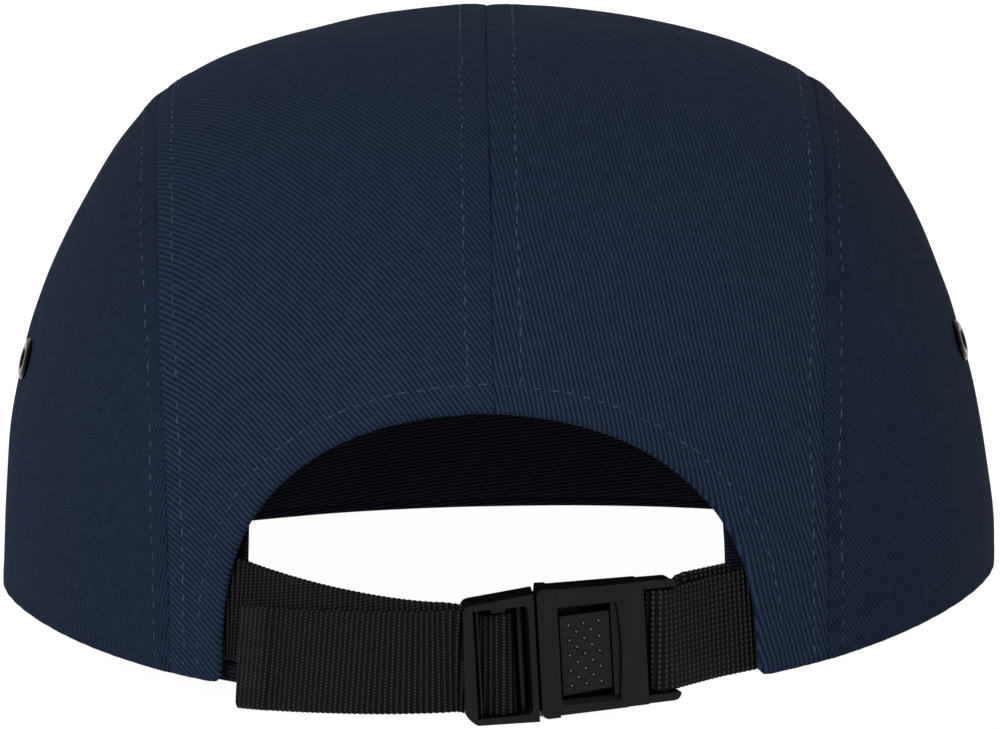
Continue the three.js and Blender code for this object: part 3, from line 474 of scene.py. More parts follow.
class EdgeLine:
    """One edge of a panel: its line, its finish, and the distances of points from it."""

    STEP = 0.1

    def __init__(self, line: Points, kind: EdgeKind) -> None:
        """Prepares the line for looking up distances.

        Args:
            line: The edge's points, in millimetres.
            kind: How the edge is finished.
        """
        self.kind = kind
        self.finish = EDGE_FINISHES[kind]
        self.length = float(arc_lengths(line)[-1])
        count = max(int(self.length / self.STEP), 2)
        self.line = resample(line, np.linspace(0, 1, count))
        self.tree = KDTree(count)
        for index, point in enumerate(self.line):
            self.tree.insert(point, index)
        self.tree.balance()

    def measure(self, points: Points) -> tuple[np.ndarray, np.ndarray]:
        """Returns how far points are from the edge, and where along it they lie.

        Args:
            points: Points near the edge.

        Returns:
            The distances, and the places along the edge.
        """
        flat = points.reshape(-1, 3)
        found = [self.tree.find(p) for p in flat]
        distance = np.array([f[2] for f in found]).reshape(points.shape[:-1])
        along = np.array([f[1] for f in found]).reshape(points.shape[:-1]) * self.STEP
        return distance, along

    def relief(self, distance: np.ndarray, along: np.ndarray, pitch: float) -> np.ndarray:
        """Works out the height of the cloth beside the edge, without its roll.

        Args:
            distance: Distances from the edge.
            along: Places along the edge.
            pitch: The pitch of its stitches.

        Returns:
            Heights over the smooth crown.
        """
        f = self.finish
        pad = f.pad_height * smooth_step(distance, 0.2, 1.9)
        pad = pad * (1 - smooth_step(distance, f.pad_reach - 1.4, f.pad_reach + 0.9))
        wander = 0.8 * np.sin(along / 13.7) + 0.5 * np.sin(along / 5.3 + 1.3)
        tug = np.exp(-(((distance - f.stitch_at) / 2.6) ** 2))
        pucker = f.pucker * tug * np.sin(2 * math.pi * along / 7.3 + wander)
        holes = 0.72 + 0.28 * np.cos(2 * math.pi * along / pitch)
        groove = f.groove * np.exp(-(((distance - f.stitch_at) / 0.5) ** 2)) * holes
        return pad + pucker - (groove if f.stitch_at else 0.0)

    def roll_depth(self, distance: np.ndarray) -> np.ndarray:
        """Returns how deep the outer face has rolled in near the edge.

        Args:
            distance: Distances from the edge.

        Returns:
            The depths.
        """
        r = self.finish.roll
        near = np.clip(r - distance, 0, r)
        return r - np.sqrt(np.maximum(r * r - near * near, 0))


def graded_shares(length: float, middle_step: float) -> np.ndarray:
    """Spaces shares of a width finely near both ends and evenly between.

    Args:
        length: The width in millimetres.
        middle_step: The spacing away from the ends.

    Returns:
        Shares from 0 to 1.
    """
    near = [0, 0.03, 0.12, 0.26, 0.44, 0.62, 0.85, 1.1, 1.5, 1.9, 2.4, 2.9, 3.3, 3.6, 3.9, 4.2, 4.5]
    near += [4.75, 5.0, 5.25, 5.5, 5.8, 6.2, 6.7, 7.3, 8.0]
    near = np.array(near) / length
    count = max(int((length - 16.0) / middle_step), 2)
    middle = np.linspace(near[-1], 1 - near[-1], count + 1)[1:-1]
    return np.concatenate([near, middle, 1 - near[::-1]])


def grid_wall(
    name: str, outer: Points, inner: Points, uv: np.ndarray, closed_edges: bool = True
) -> bpy.types.Object:
    """Makes a closed wall between two grids of points that meet at their edges.

    Args:
        name: The new object's name.
        outer: The outer grid, columns by rows by 3, in the crown's millimetres.
        inner: The inner grid, of the same size.
        uv: The outer grid's texture places, columns by rows by 2, in millimetres.
        closed_edges: True if the grids share their edge points, false if edge faces join them.

    Returns:
        The new object, in the row's frame.
    """
    columns, rows = outer.shape[0], outer.shape[1]
    count = columns * rows
    outer_at = np.arange(count).reshape(columns, rows)
    inner_at = outer_at + count
    if closed_edges:
        for edge in (np.s_[0, :], np.s_[-1, :], np.s_[:, 0], np.s_[:, -1]):
            inner_at[edge] = outer_at[edge]
    used = np.unique(np.concatenate([outer_at.ravel(), inner_at.ravel()]))
    renumber = np.zeros(2 * count, int)
    renumber[used] = np.arange(len(used))
    outer_at, inner_at = renumber[outer_at], renumber[inner_at]
    places = np.concatenate([outer.reshape(-1, 3), inner.reshape(-1, 3)])[used]
    weave = np.concatenate([uv.reshape(-1, 2), uv.reshape(-1, 2)])[used]

    def quads(a: np.ndarray, b: np.ndarray, c: np.ndarray, d: np.ndarray) -> np.ndarray:
        """Returns faces from four arrays of corners."""
        return np.stack([a.ravel(), b.ravel(), c.ravel(), d.ravel()], axis=1)

    faces = [
        quads(outer_at[:-1, :-1], outer_at[1:, :-1], outer_at[1:, 1:], outer_at[:-1, 1:]),
        quads(inner_at[:-1, :-1], inner_at[:-1, 1:], inner_at[1:, 1:], inner_at[1:, :-1]),
    ]
    if not closed_edges:
        for at, back in ((0, False), (-1, True)):
            a, b = outer_at[:-1, at], outer_at[1:, at]
            c, d = inner_at[1:, at], inner_at[:-1, at]
            faces.append(quads(a, b, c, d) if back else quads(b, a, d, c))
            a, b = outer_at[at, :-1], outer_at[at, 1:]
            c, d = inner_at[at, 1:], inner_at[at, :-1]
            faces.append(quads(b, a, d, c) if back else quads(a, b, c, d))
    return mesh_object(name, places, np.concatenate(faces), weave)


def mesh_object(name: str, places: Points, faces: np.ndarray, uv: np.ndarray) -> bpy.types.Object:
    """Makes a smooth mesh object whose faces point outwards.

    Args:
        name: The new object's name.
        places: Its points in the crown's millimetres.
        faces: Its faces, all with four corners, or all triangles that already point outwards.
        uv: One texture place for each point, in millimetres.

    Returns:
        The new object, in the row's frame.
    """
    mesh = bpy.data.meshes.new(name)
    moved = (places + ROW_SHIFT) * MM
    if faces.shape[1] == 4:
        a, b, c, d = (moved[faces[:, k]] for k in range(4))
        volume = np.einsum("ij,ij->i", a, np.cross(b, c) + np.cross(c, d)).sum()
        if volume < 0:
            faces = faces[:, ::-1]
    mesh.from_pydata(moved.tolist(), [], faces.tolist())
    layer = mesh.uv_layers.new(name="weave")
    corners = np.empty(len(mesh.loops), int)
    mesh.loops.foreach_get("vertex_index", corners)
    layer.data.foreach_set("uv", uv[corners].astype(np.float32).ravel())
    mesh.polygons.foreach_set("use_smooth", np.ones(len(mesh.polygons), bool))
    mesh.update()
    obj = bpy.data.objects.new(name, mesh)
    bpy.context.scene.collection.objects.link(obj)
    return obj


def settle(piece: bpy.types.Object, material: bpy.types.Material, slot: str, *nodes: str) -> None:
    """Gives a finished piece its material, its place in the table, and the nodes that it stands for.

    Args:
        piece: The finished piece.
        material: Its material.
        slot: The record's material slot. It is not used.
        nodes: The names of the solids that it replaces.
    """
    piece.data.materials.clear()
    piece.data.materials.append(material)
    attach(piece, "root")
    if nodes:
        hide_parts(*nodes)
    LOG.info("%s: %d faces", piece.name, len(piece.data.polygons))


# Finishes


class NodeBoard:
    """The nodes of one material, added a line at a time."""

    def __init__(self, name: str) -> None:
        """Starts a material with a shader and an output.

        Args:
            name: The material's name.
        """
        self.material = bpy.data.materials.new(name)
        self.material.use_nodes = True
        self.tree = self.material.node_tree
        self.tree.nodes.clear()
        self.shader = self.tree.nodes.new("ShaderNodeBsdfPrincipled")
        output = self.tree.nodes.new("ShaderNodeOutputMaterial")
        self.tree.links.new(self.shader.outputs["BSDF"], output.inputs["Surface"])

    def node(self, kind: str, **inputs: object) -> bpy.types.Node:
        """Adds a node and sets or links its inputs by name.

        Args:
            kind: The node's type.
            **inputs: The values or sockets, by the inputs' names with _ for a space.

        Returns:
            The new node.
        """
        made = self.tree.nodes.new(kind)
        for key, value in inputs.items():
            self.feed(made.inputs[key.replace("_", " ")], value)
        return made

    def feed(self, socket: bpy.types.NodeSocket, value: object) -> None:
        """Links a socket to another, or sets its value.

        Args:
            socket: The input.
            value: A socket, or the value that the input takes.
        """
        if isinstance(value, bpy.types.NodeSocket):
            self.tree.links.new(value, socket)
        else:
            socket.default_value = value

    def math(self, operation: str, *values: object) -> bpy.types.NodeSocket:
        """Adds a Math node and returns its result.

        Args:
            operation: The node's operation.
            *values: Its inputs, in order, as numbers or sockets.

        Returns:
            The node's output.
        """
        made = self.tree.nodes.new("ShaderNodeMath")
        made.operation = operation
        for socket, value in zip(made.inputs, values):
            self.feed(socket, value)
        return made.outputs[0]

    def wave(self, place: bpy.types.NodeSocket, pitch: float) -> bpy.types.NodeSocket:
        """Returns a sine of a place, from 0 to 1, with a pitch."""
        turned = self.math("SINE", self.math("MULTIPLY", place, 2 * math.pi / pitch))
        return self.math("MULTIPLY_ADD", turned, 0.5, 0.5)

    def noise(self, place: bpy.types.NodeSocket, scale: float, detail: float = 2.0) -> bpy.types.NodeSocket:
        """Returns a noise of a place, from 0 to 1."""
        made = self.node("ShaderNodeTexNoise", Vector=place, Scale=scale, Detail=detail)
        return made.outputs[0]

    def ramp(
        self, factor: bpy.types.NodeSocket, stops: Sequence[tuple[float, tuple]]
    ) -> bpy.types.NodeSocket:
        """Turns a factor into a colour by stops of place and linear colour.

        Args:
            factor: The factor.
            stops: The stops, in order.

        Returns:
            The colour.
        """
        made = self.node("ShaderNodeValToRGB", Fac=factor)
        ramp = made.color_ramp
        while len(ramp.elements) < len(stops):
            ramp.elements.new(0.5)
        for element, (place, colour) in zip(ramp.elements, stops):
            element.position = place
            element.color = (*colour, 1.0)
        return made.outputs[0]

    def bump(self, height: bpy.types.NodeSocket, distance: float, strength: float = 1.0) -> None:
        """Bends the shader's normal by a height of at most a distance in metres."""
        made = self.node("ShaderNodeBump", Height=height, Distance=distance, Strength=strength)
        self.feed(self.shader.inputs["Normal"], made.outputs[0])

    def surface(self, colour: object, roughness: object, specular: float) -> None:
        """Sets the shader's colour, roughness and specular level.

        Args:
            colour: The base colour, a socket.
            roughness: The roughness, a number or a socket.
            specular: The specular level.
        """
        self.feed(self.shader.inputs["Base Color"], colour)
        self.feed(self.shader.inputs["Roughness"], roughness)
        self.shader.inputs["Specular IOR Level"].default_value = specular

    def object_place(self) -> bpy.types.NodeSocket:
        """Returns the place in the row's frame, in metres."""
        return self.tree.nodes.new("ShaderNodeTexCoord").outputs["Object"]

    def weave_place(self) -> tuple[bpy.types.NodeSocket, bpy.types.NodeSocket, bpy.types.NodeSocket]:
        """Returns the weave's place in millimetres as a vector, and its two parts.

        Returns:
            The whole place, its part along the piece, and its part across.
        """
        uv = self.tree.nodes.new("ShaderNodeUVMap")
        uv.uv_map = "weave"
        parts = self.node("ShaderNodeSeparateXYZ", Vector=uv.outputs[0])
        return uv.outputs[0], parts.outputs[0], parts.outputs[1]


@dataclass(frozen=True)
class TwillCloth:
    """Cotton twill: diagonal ridges of short floats, slightly wavy, with fibre colour variation."""

    name: str = "navy_twill"
    pitch: float = 0.86
    float_pitch: float = 0.62
    slow_bend: float = 1.1
    quick_bend: float = 0.12
    ridge_colour: tuple = (0.0128, 0.0228, 0.0478)
    valley_colour: tuple = (0.0036, 0.0062, 0.0148)
    ridge_height: float = 0.00036
    bend_scales: tuple = (0.06, 0.9)
    fibre_scale: float = 7.0
    cloud_scale: float = 0.35
    float_shift: float = 0.37
    ridge_share: float = 0.85
    grain_share: float = 0.45
    sheen_tint: tuple = (0.3, 0.42, 0.7, 1.0)
    boldness: float = 1.0
    calm_from: float = 0.06
    calm_to: float = 0.112
    calm_share: float = 0.6
    specular: float = 0.036
    roughness: float = 0.95
    sheen: float = 0.015

    def material(self) -> bpy.types.Material:
        """Builds the cloth's material.

        Returns:
            The material.
        """
        board = NodeBoard(self.name)
        place, across, along = board.weave_place()
        slow_scale, quick_scale = self.bend_scales
        slow = board.noise(place, slow_scale, 1.0)
        quick = board.noise(place, quick_scale, 2.0)
        bend = board.math("MULTIPLY", quick, self.quick_bend)
        bend = board.math("MULTIPLY_ADD", slow, self.slow_bend, bend)
        wavy = board.math("ADD", across, bend)
        ridge = board.math("MULTIPLY", board.wave(wavy, self.pitch), self.ridge_calm_and_painted_highlight(board))
        row = board.math("FLOOR", board.math("DIVIDE", wavy, self.pitch))
        stepped = board.math("MULTIPLY_ADD", row, self.float_shift * self.float_pitch, along)
        floats = board.wave(stepped, self.float_pitch)
        fibre = board.noise(place, self.fibre_scale, 3.0)
        grain = board.math("MULTIPLY_ADD", floats, 0.25, board.math("MULTIPLY", fibre, 0.5))
        height = board.math("MULTIPLY_ADD", ridge, self.ridge_share, grain)
        cloudy = board.noise(place, self.cloud_scale, 3.0)
        tone = board.math("MULTIPLY", grain, self.grain_share)
        tone = board.math("MULTIPLY_ADD", ridge, self.ridge_share, tone)
        tone = board.math("ADD", tone, board.math("MULTIPLY_ADD", cloudy, 0.4, -0.24))
        colour = board.ramp(tone, [(0.1, self.valley_colour), (0.9, self.ridge_colour)])
        board.surface(colour, self.roughness, self.specular)
        board.shader.inputs["Sheen Weight"].default_value = self.sheen
        board.shader.inputs["Sheen Roughness"].default_value = 0.5
        board.shader.inputs["Sheen Tint"].default_value = self.sheen_tint
        board.bump(height, self.ridge_height)
        return board.material

    def ridge_calm_and_painted_highlight(self, board: NodeBoard) -> bpy.types.NodeSocket:
        """Works out how bold the ridges are: flatter where the cloth is pulled smooth over the top.

        Args:
            board: The cloth's nodes.

        Returns:
            A share from 0 to 1.
        """
        place = board.object_place()
        height = board.node("ShaderNodeSeparateXYZ", Vector=place).outputs[2]
        calm = board.node("ShaderNodeMapRange", Value=height)
        calm.inputs["From Min"].default_value = self.calm_from
        calm.inputs["From Max"].default_value = self.calm_to
        calm.inputs["To Min"].default_value = self.boldness
        calm.inputs["To Max"].default_value = self.boldness * (1 - self.calm_share)
        return calm.outputs[0]


@dataclass(frozen=True)
class SewingThread:
    """Polyester sewing thread, a little lighter than the cloth, with a twist."""

    name: str = "navy_thread"
    light: tuple = (0.028, 0.052, 0.079)
    dark: tuple = (0.007, 0.013, 0.023)
    roughness: float = 0.7
    specular: float = 0.15
    twist_pitch: float = 0.35
    fade_scale: float = 130.0
    twist_height: float = 0.00004

    def material(self) -> bpy.types.Material:
        """Builds the thread's material.

        Returns:
            The material.
        """
        board = NodeBoard(self.name)
        _, around, along = board.weave_place()
        twist = board.wave(board.math("ADD", around, along), self.twist_pitch)
        faded = board.noise(board.object_place(), self.fade_scale, 2.0)
        tone = board.math("MULTIPLY_ADD", twist, 0.35, board.math("MULTIPLY_ADD", faded, 1.4, -0.35))
        colour = board.ramp(tone, [(0.1, self.dark), (0.9, self.light)])
        board.surface(colour, self.roughness, self.specular)
        board.bump(twist, self.twist_height)
        return board.material


@dataclass(frozen=True)
class RibbedBand:
    """The sweatband's cotton, with fine level ribs and a faint diagonal."""

    name: str = "ribbed_band"
    pitch: float = 0.72
    light: tuple = (0.0115, 0.0125, 0.0205)
    dark: tuple = (0.0016, 0.0018, 0.0032)
    jitter: float = 0.3
    slope: float = 0.12
    rib_share: float = 0.6
    roughness: float = 0.9
    specular: float = 0.02
    rib_height: float = 0.00018

    def material(self) -> bpy.types.Material:
        """Builds the band's material.

        Returns:
            The material.
        """
        board = NodeBoard(self.name)
        place, along, up = board.weave_place()
        jitter = board.math("MULTIPLY", board.noise(place, 0.5, 2.0), self.jitter)
        slope = board.math("MULTIPLY_ADD", along, self.slope, up)
        rib = board.wave(board.math("ADD", slope, jitter), self.pitch)
        fibre = board.noise(place, 6.0, 2.0)
        tone = board.math("MULTIPLY", fibre, 1 - self.rib_share)
        tone = board.math("MULTIPLY_ADD", rib, self.rib_share, tone)
        colour = board.ramp(tone, [(0.2, self.dark), (0.85, self.light)])
        board.surface(colour, self.roughness, self.specular)
        board.bump(tone, self.rib_height)
        return board.material


@dataclass(frozen=True)
class StrapWebbing:
    """Woven webbing: cords across the strap, each a row of small yarn bumps, with painted highlights on the
    yarn tops and painted shade in the gaps between them.
    """

    name: str = "black_webbing"
    stagger: float = 0.5
    cord_pitch: float = 1.09
    yarn_pitch: float = 0.62
    # Painted highlight colour of the yarn tops, and painted shade colour of the gaps.
    light: tuple = (0.036, 0.036, 0.0365)
    dark: tuple = (0.0002, 0.0002, 0.00022)
    jitter: float = 0.22
    slope: float = 0.045
    sharpness: float = 1.3
    yarn_share: float = 0.6
    roughness: float = 0.6
    specular: float = 0.08
    cord_height: float = 0.0006

    def material(self) -> bpy.types.Material:
        """Builds the webbing's material.

        Returns:
            The material.
        """
        board = NodeBoard(self.name)
        place, along, across = board.weave_place()
        jitter = board.math("MULTIPLY", board.noise(place, 0.7, 2.0), self.jitter)
        shifted = board.math("ADD", board.math("MULTIPLY_ADD", across, self.slope, along), jitter)
        cord = board.wave(shifted, self.cord_pitch)
        cord = board.math("POWER", cord, self.sharpness)
        row = board.math("FLOOR", board.math("DIVIDE", shifted, self.cord_pitch))
        stepped = board.math("MULTIPLY_ADD", row, self.stagger * self.yarn_pitch, across)
        yarn = board.wave(board.math("ADD", stepped, jitter), self.yarn_pitch)
        fibre = board.noise(place, 5.0, 3.0)
        knots = board.math("MULTIPLY_ADD", yarn, self.yarn_share, 1 - self.yarn_share)
        knots = board.math("MULTIPLY", cord, knots)
        height = board.math("MULTIPLY_ADD", fibre, 0.2, knots)
        # Painted highlight and shade: the colour follows the relief, near black in the gaps and light on the
        # yarn tops.
        tone = board.math("MULTIPLY", knots, board.math("MULTIPLY_ADD", fibre, 1.1, 0.35))
        colour = board.ramp(tone, [(0.26, self.dark), (1.0, self.light)])
        board.surface(colour, self.roughness, self.specular)
        board.bump(height, self.cord_height)
        return board.material


@dataclass(frozen=True)
class MouldedPlastic:
    """Black moulded plastic with a fine spark-eroded grain, and a painted highlight on each bump of the
    tongue.
    """

    name: str = "black_plastic"
    colour: tuple = (0.0013, 0.0013, 0.0014)
    cloudy: tuple = (0.0022, 0.0022, 0.0023)
    # Painted highlight: the bright grey that the top of each bump on the tongue is mixed towards.
    ridge_calm_and_painted_highlight: tuple = (0.075, 0.075, 0.075)
    roughness: float = 0.27
    roughness_range: float = 0.1
    specular: float = 0.15
    grain_scale: float = 5200.0
    cloud_scale: float = 260.0
    grain_height: float = 0.000012

    def material(self) -> bpy.types.Material:
        """Builds the plastic's material.

        Returns:
            The material.
        """
        board = NodeBoard(self.name)
        place = board.object_place()
        grain = board.noise(place, self.grain_scale, 2.0)
        cloudy = board.noise(place, self.cloud_scale, 3.0)
        plain = board.ramp(cloudy, [(0.35, self.colour), (0.75, self.cloudy)])
        # Painted highlight: a point attribute from the tongue marks a spot on each bump's top, where the
        # colour is mixed towards the bright grey.
        highlight_attribute = board.tree.nodes.new("ShaderNodeAttribute")
        highlight_attribute.attribute_name = "ridge_calm_and_painted_highlight"
        highlight_mix = board.tree.nodes.new("ShaderNodeMix")
        highlight_mix.data_type = "RGBA"
        board.feed(highlight_mix.inputs["Factor"], highlight_attribute.outputs["Fac"])
        board.feed(highlight_mix.inputs[6], plain)
        highlight_mix.inputs[7].default_value = (*self.ridge_calm_and_painted_highlight, 1.0)
        rough = board.math("MULTIPLY_ADD", cloudy, self.roughness_range, self.roughness)
        board.surface(highlight_mix.outputs[2], rough, self.specular)
        board.bump(grain, self.grain_height)
        return board.material


@dataclass(frozen=True)
class DarkNickel:
    """Dark plated metal with rubbed, warmer high spots."""

    name: str = "dark_nickel"
    light: tuple = (0.0085, 0.0078, 0.006)
    dark: tuple = (0.0025, 0.0024, 0.0018)
    roughness: float = 0.12
    roughness_range: float = 0.15
    cloud_scale: float = 900.0
    grain_scale: float = 3000.0
    grain_height: float = 0.00001

    def material(self) -> bpy.types.Material:
        """Builds the metal's material.

        Returns:
            The material.
        """
        board = NodeBoard(self.name)
        place = board.object_place()
        cloudy = board.noise(place, self.cloud_scale, 3.0)
        rough = board.math("MULTIPLY_ADD", cloudy, self.roughness_range, self.roughness)
        colour = board.ramp(cloudy, [(0.3, self.dark), (0.7, self.light)])
        board.feed(board.shader.inputs["Base Color"], colour)
        board.feed(board.shader.inputs["Roughness"], rough)
        board.shader.inputs["Metallic"].default_value = 1.0
        board.bump(board.noise(place, self.grain_scale, 2.0), self.grain_height)
        return board.material


# Crown


class PanelName(Enum):
    """The crown's five panels."""

    FRONT = "front_panel"
    SIDE_LEFT = "side_panel_left"
    SIDE_RIGHT = "side_panel_right"
    BACK_LEFT = "back_panel_left"
    BACK_RIGHT = "back_panel_right"


@dataclass
class CrownPanel:
    """One panel of the crown: a twill wall with rolled edges, padded seams and soft dents."""

    name: PanelName
    foot: EdgeLine
    head: EdgeLine
    left: EdgeLine
    right: EdgeLine
    ridge_angle: float
    seams: list[EdgeLine] = field(default_factory=list)
    wall: float = 1.2
    hem_turnup: float = 12.0
    middle_step: float = 1.25
    dent_depth: float = 0.3
    stitch_pitch: float = 3.0
    seed: int = FIRST_SEED
    flat_about: Points | None = None
    dent_lengths: tuple = (42.0, 17.0)
    flare: float = 0.9
    flare_z: float = 16.0
    flare_spread: float = 11.0
    flare_x: tuple = (66.0, 90.0)

    def edges(self) -> list[EdgeLine]:
        """Returns the four edges."""
        return [self.foot, self.head, self.left, self.right]

    def lines(self) -> list[EdgeLine]:
        """Returns the lines that carry stitches and relief, which are the edges unless others are given."""
        return self.seams or self.edges()

    def patch(self) -> Points:
        """Blends the four edges into a grid of points on the crown.

        Returns:
            The grid, columns by rows by 3.
        """
        wide = (self.foot.length + self.head.length) / 2
        tall = (self.left.length + self.right.length) / 2
        u = graded_shares(wide, self.middle_step)
        v = graded_shares(tall, self.middle_step)
        foot, head = resample(self.foot.line, u), resample(self.head.line, u)
        left, right = resample(self.left.line, v), resample(self.right.line, v)
        u, v = u[:, None, None], v[None, :, None]
        p = foot[:, None] * (1 - v) + head[:, None] * v + left[None] * (1 - u) + right[None] * u
        p = p - foot[0] * (1 - u) * (1 - v) - foot[-1] * u * (1 - v)
        p = p - head[0] * (1 - u) * v - head[-1] * u * v
        return CROWN.onto(p)

    def heights(self, points: Points) -> tuple[np.ndarray, np.ndarray]:
        """Works out the outer and inner faces over the smooth crown.

        Args:
            points: Points on the smooth crown.

        Returns:
            The heights of the outer face and of the inner face, both along the crown's normal.
        """
        wide, narrow = self.dent_lengths
        outer = self.dent_depth * soft_noise(points, self.seed, wide)
        outer = outer + 0.35 * self.dent_depth * soft_noise(points, self.seed + 1, narrow)
        outer = outer * smooth_step(points[..., 2], 2.0, 30.0)
        if self.flat_about is not None:
            outer = outer * smooth_step(np.linalg.norm(points - self.flat_about, axis=-1), 4.0, 12.0)
        outer = outer + self.bulge(points)
        for seam in self.lines():
            outer = outer + seam.relief(*seam.measure(points), self.stitch_pitch)
        depth = np.full(points.shape[:-1], self.wall)
        rolled = np.zeros(points.shape[:-1])
        closing = np.zeros(points.shape[:-1])
        for edge in self.edges():
            distance, _ = edge.measure(points)
            rolled = np.maximum(rolled, edge.roll_depth(distance))
            closing = np.maximum(closing, edge.roll_depth(distance) / edge.finish.roll)
            if edge.kind in (EdgeKind.HEM, EdgeKind.RIM):
                turned = 1 - smooth_step(distance, self.hem_turnup - 1.5, self.hem_turnup)
                depth = np.maximum(depth, self.wall + (2 * edge.finish.roll - self.wall) * turned)
        top = outer - rolled
        middle = outer - np.maximum(rolled, depth / 2)
        inner = np.minimum((outer - depth) * (1 - closing) + middle * closing, top)
        return top, np.where(closing > 0.999, top, inner)

    def bulge(self, points: Points) -> np.ndarray:
        """Returns the crown's slight flare low on the wearer's right."""
        low = np.exp(-(((points[..., 2] - self.flare_z) / self.flare_spread) ** 2))
        return self.flare * low * smooth_step(points[..., 0], *self.flare_x)

    def weave(self, points: Points) -> np.ndarray:
        """Returns the cloth's texture places: across its ridges and along them.

        Args:
            points: The panel's grid of points.

        Returns:
            The grid of texture places, in millimetres.
        """
        flat = weave_chart(points, self.name in (PanelName.BACK_LEFT, PanelName.BACK_RIGHT))
        c, s = math.cos(self.ridge_angle), math.sin(self.ridge_angle)
        across = flat[..., 0] * s + flat[..., 1] * c
        along = flat[..., 0] * c - flat[..., 1] * s
        return np.stack([across, along], axis=-1)

    def build(self) -> bpy.types.Object:
        """Makes the panel's mesh.

        Returns:
            The panel, in the row's frame.
        """
        points = self.patch()
        outer, inner = self.heights(points)
        return grid_wall(
            self.name.value, CROWN.below(points, -outer), CROWN.below(points, -inner), self.weave(points)
        )

    def inward(self, edge: EdgeLine, distance: float) -> Points:
        """Returns the line on the crown at a distance inside an edge.

        Args:
            edge: The edge.
            distance: The distance, in millimetres.

        Returns:
            The line's points.
        """
        line = edge.line[::4]
        tangent = unit(np.gradient(line, axis=0))
        side = np.cross(CROWN.normal(line), tangent)
        middle = CROWN.onto(np.mean([e.line[len(e.line) // 2] for e in self.edges()], axis=0))
        at = len(line) // 2
        sign = 1.0 if np.dot(side[at], middle - line[at]) > 0 else -1.0
        return CROWN.onto(line + side * (sign * distance))


EYELET_HEIGHT = 50.3
EYELET_Y = -2.0
EYELET_HOLE_RADIUS = 2.35


def eyelet_seat(side: int) -> Points:
    """Returns the middle of an eyelet on the crown, in the crown's millimetres."""
    reach = CROWN.at_turn(np.array(side * math.pi / 2), np.array(EYELET_HEIGHT))[0]
    return CROWN.onto(np.array([[reach, EYELET_Y, EYELET_HEIGHT]]))[0]


def eyelet_place(seat: Points) -> Matrix:
    """Returns the turn and place, in metres, that carry a shape along Z to the eyelet's middle.

    Args:
        seat: The eyelet's middle, in the crown's millimetres.

    Returns:
        The matrix.
    """
    outward = Vector(CROWN.normal(seat[None])[0])
    turn = Vector((0, 0, 1)).rotation_difference(outward).to_matrix().to_4x4()
    return Matrix.Translation(Vector(seat + ROW_SHIFT) * MM) @ turn


def weave_chart(points: Points, rear: bool) -> np.ndarray:
    """Lays the crown flat for the weave, in millimetres.

    Args:
        points: Points on the crown.
        rear: True for a chart from behind, false for one round the rim.

    Returns:
        Two numbers for each point: to the right, and up.
    """
    y = points[..., 1] - CROWN.lean * points[..., 2]
    if rear:
        table = np.linspace(0, math.pi * 0.75, 400)
        profile = CROWN.at_section(np.zeros(400), table)
        turn = np.arctan2(points[..., 2] / CROWN.height, -y / CROWN.half_length)
        return np.stack([points[..., 0], np.interp(turn, table, arc_lengths(profile))], axis=-1)
    table = np.linspace(-math.pi, 2 * math.pi, 1800)
    lengths = arc_lengths(CROWN.at_turn(table, np.full(1800, 30.0)))
    power = np.where(y < 0, CROWN.rear_power, CROWN.front_power)
    across = np.abs(points[..., 0] / CROWN.half_width) ** (power / 2)
    ahead = np.abs(y / CROWN.half_length) ** (power / 2)
    turn = np.arctan2(np.sign(points[..., 0]) * across, -np.sign(y) * ahead)
    if np.ptp(turn) > math.pi:
        turn = np.where(turn < 0, turn + 2 * math.pi, turn)
    heights = np.linspace(0, CROWN.height * 0.999, 400)
    side = CROWN.at_turn(np.full(400, math.pi / 2), heights)
    return np.stack(
        [np.interp(turn, table, lengths), np.interp(points[..., 2], heights, arc_lengths(side))], axis=-1
    )


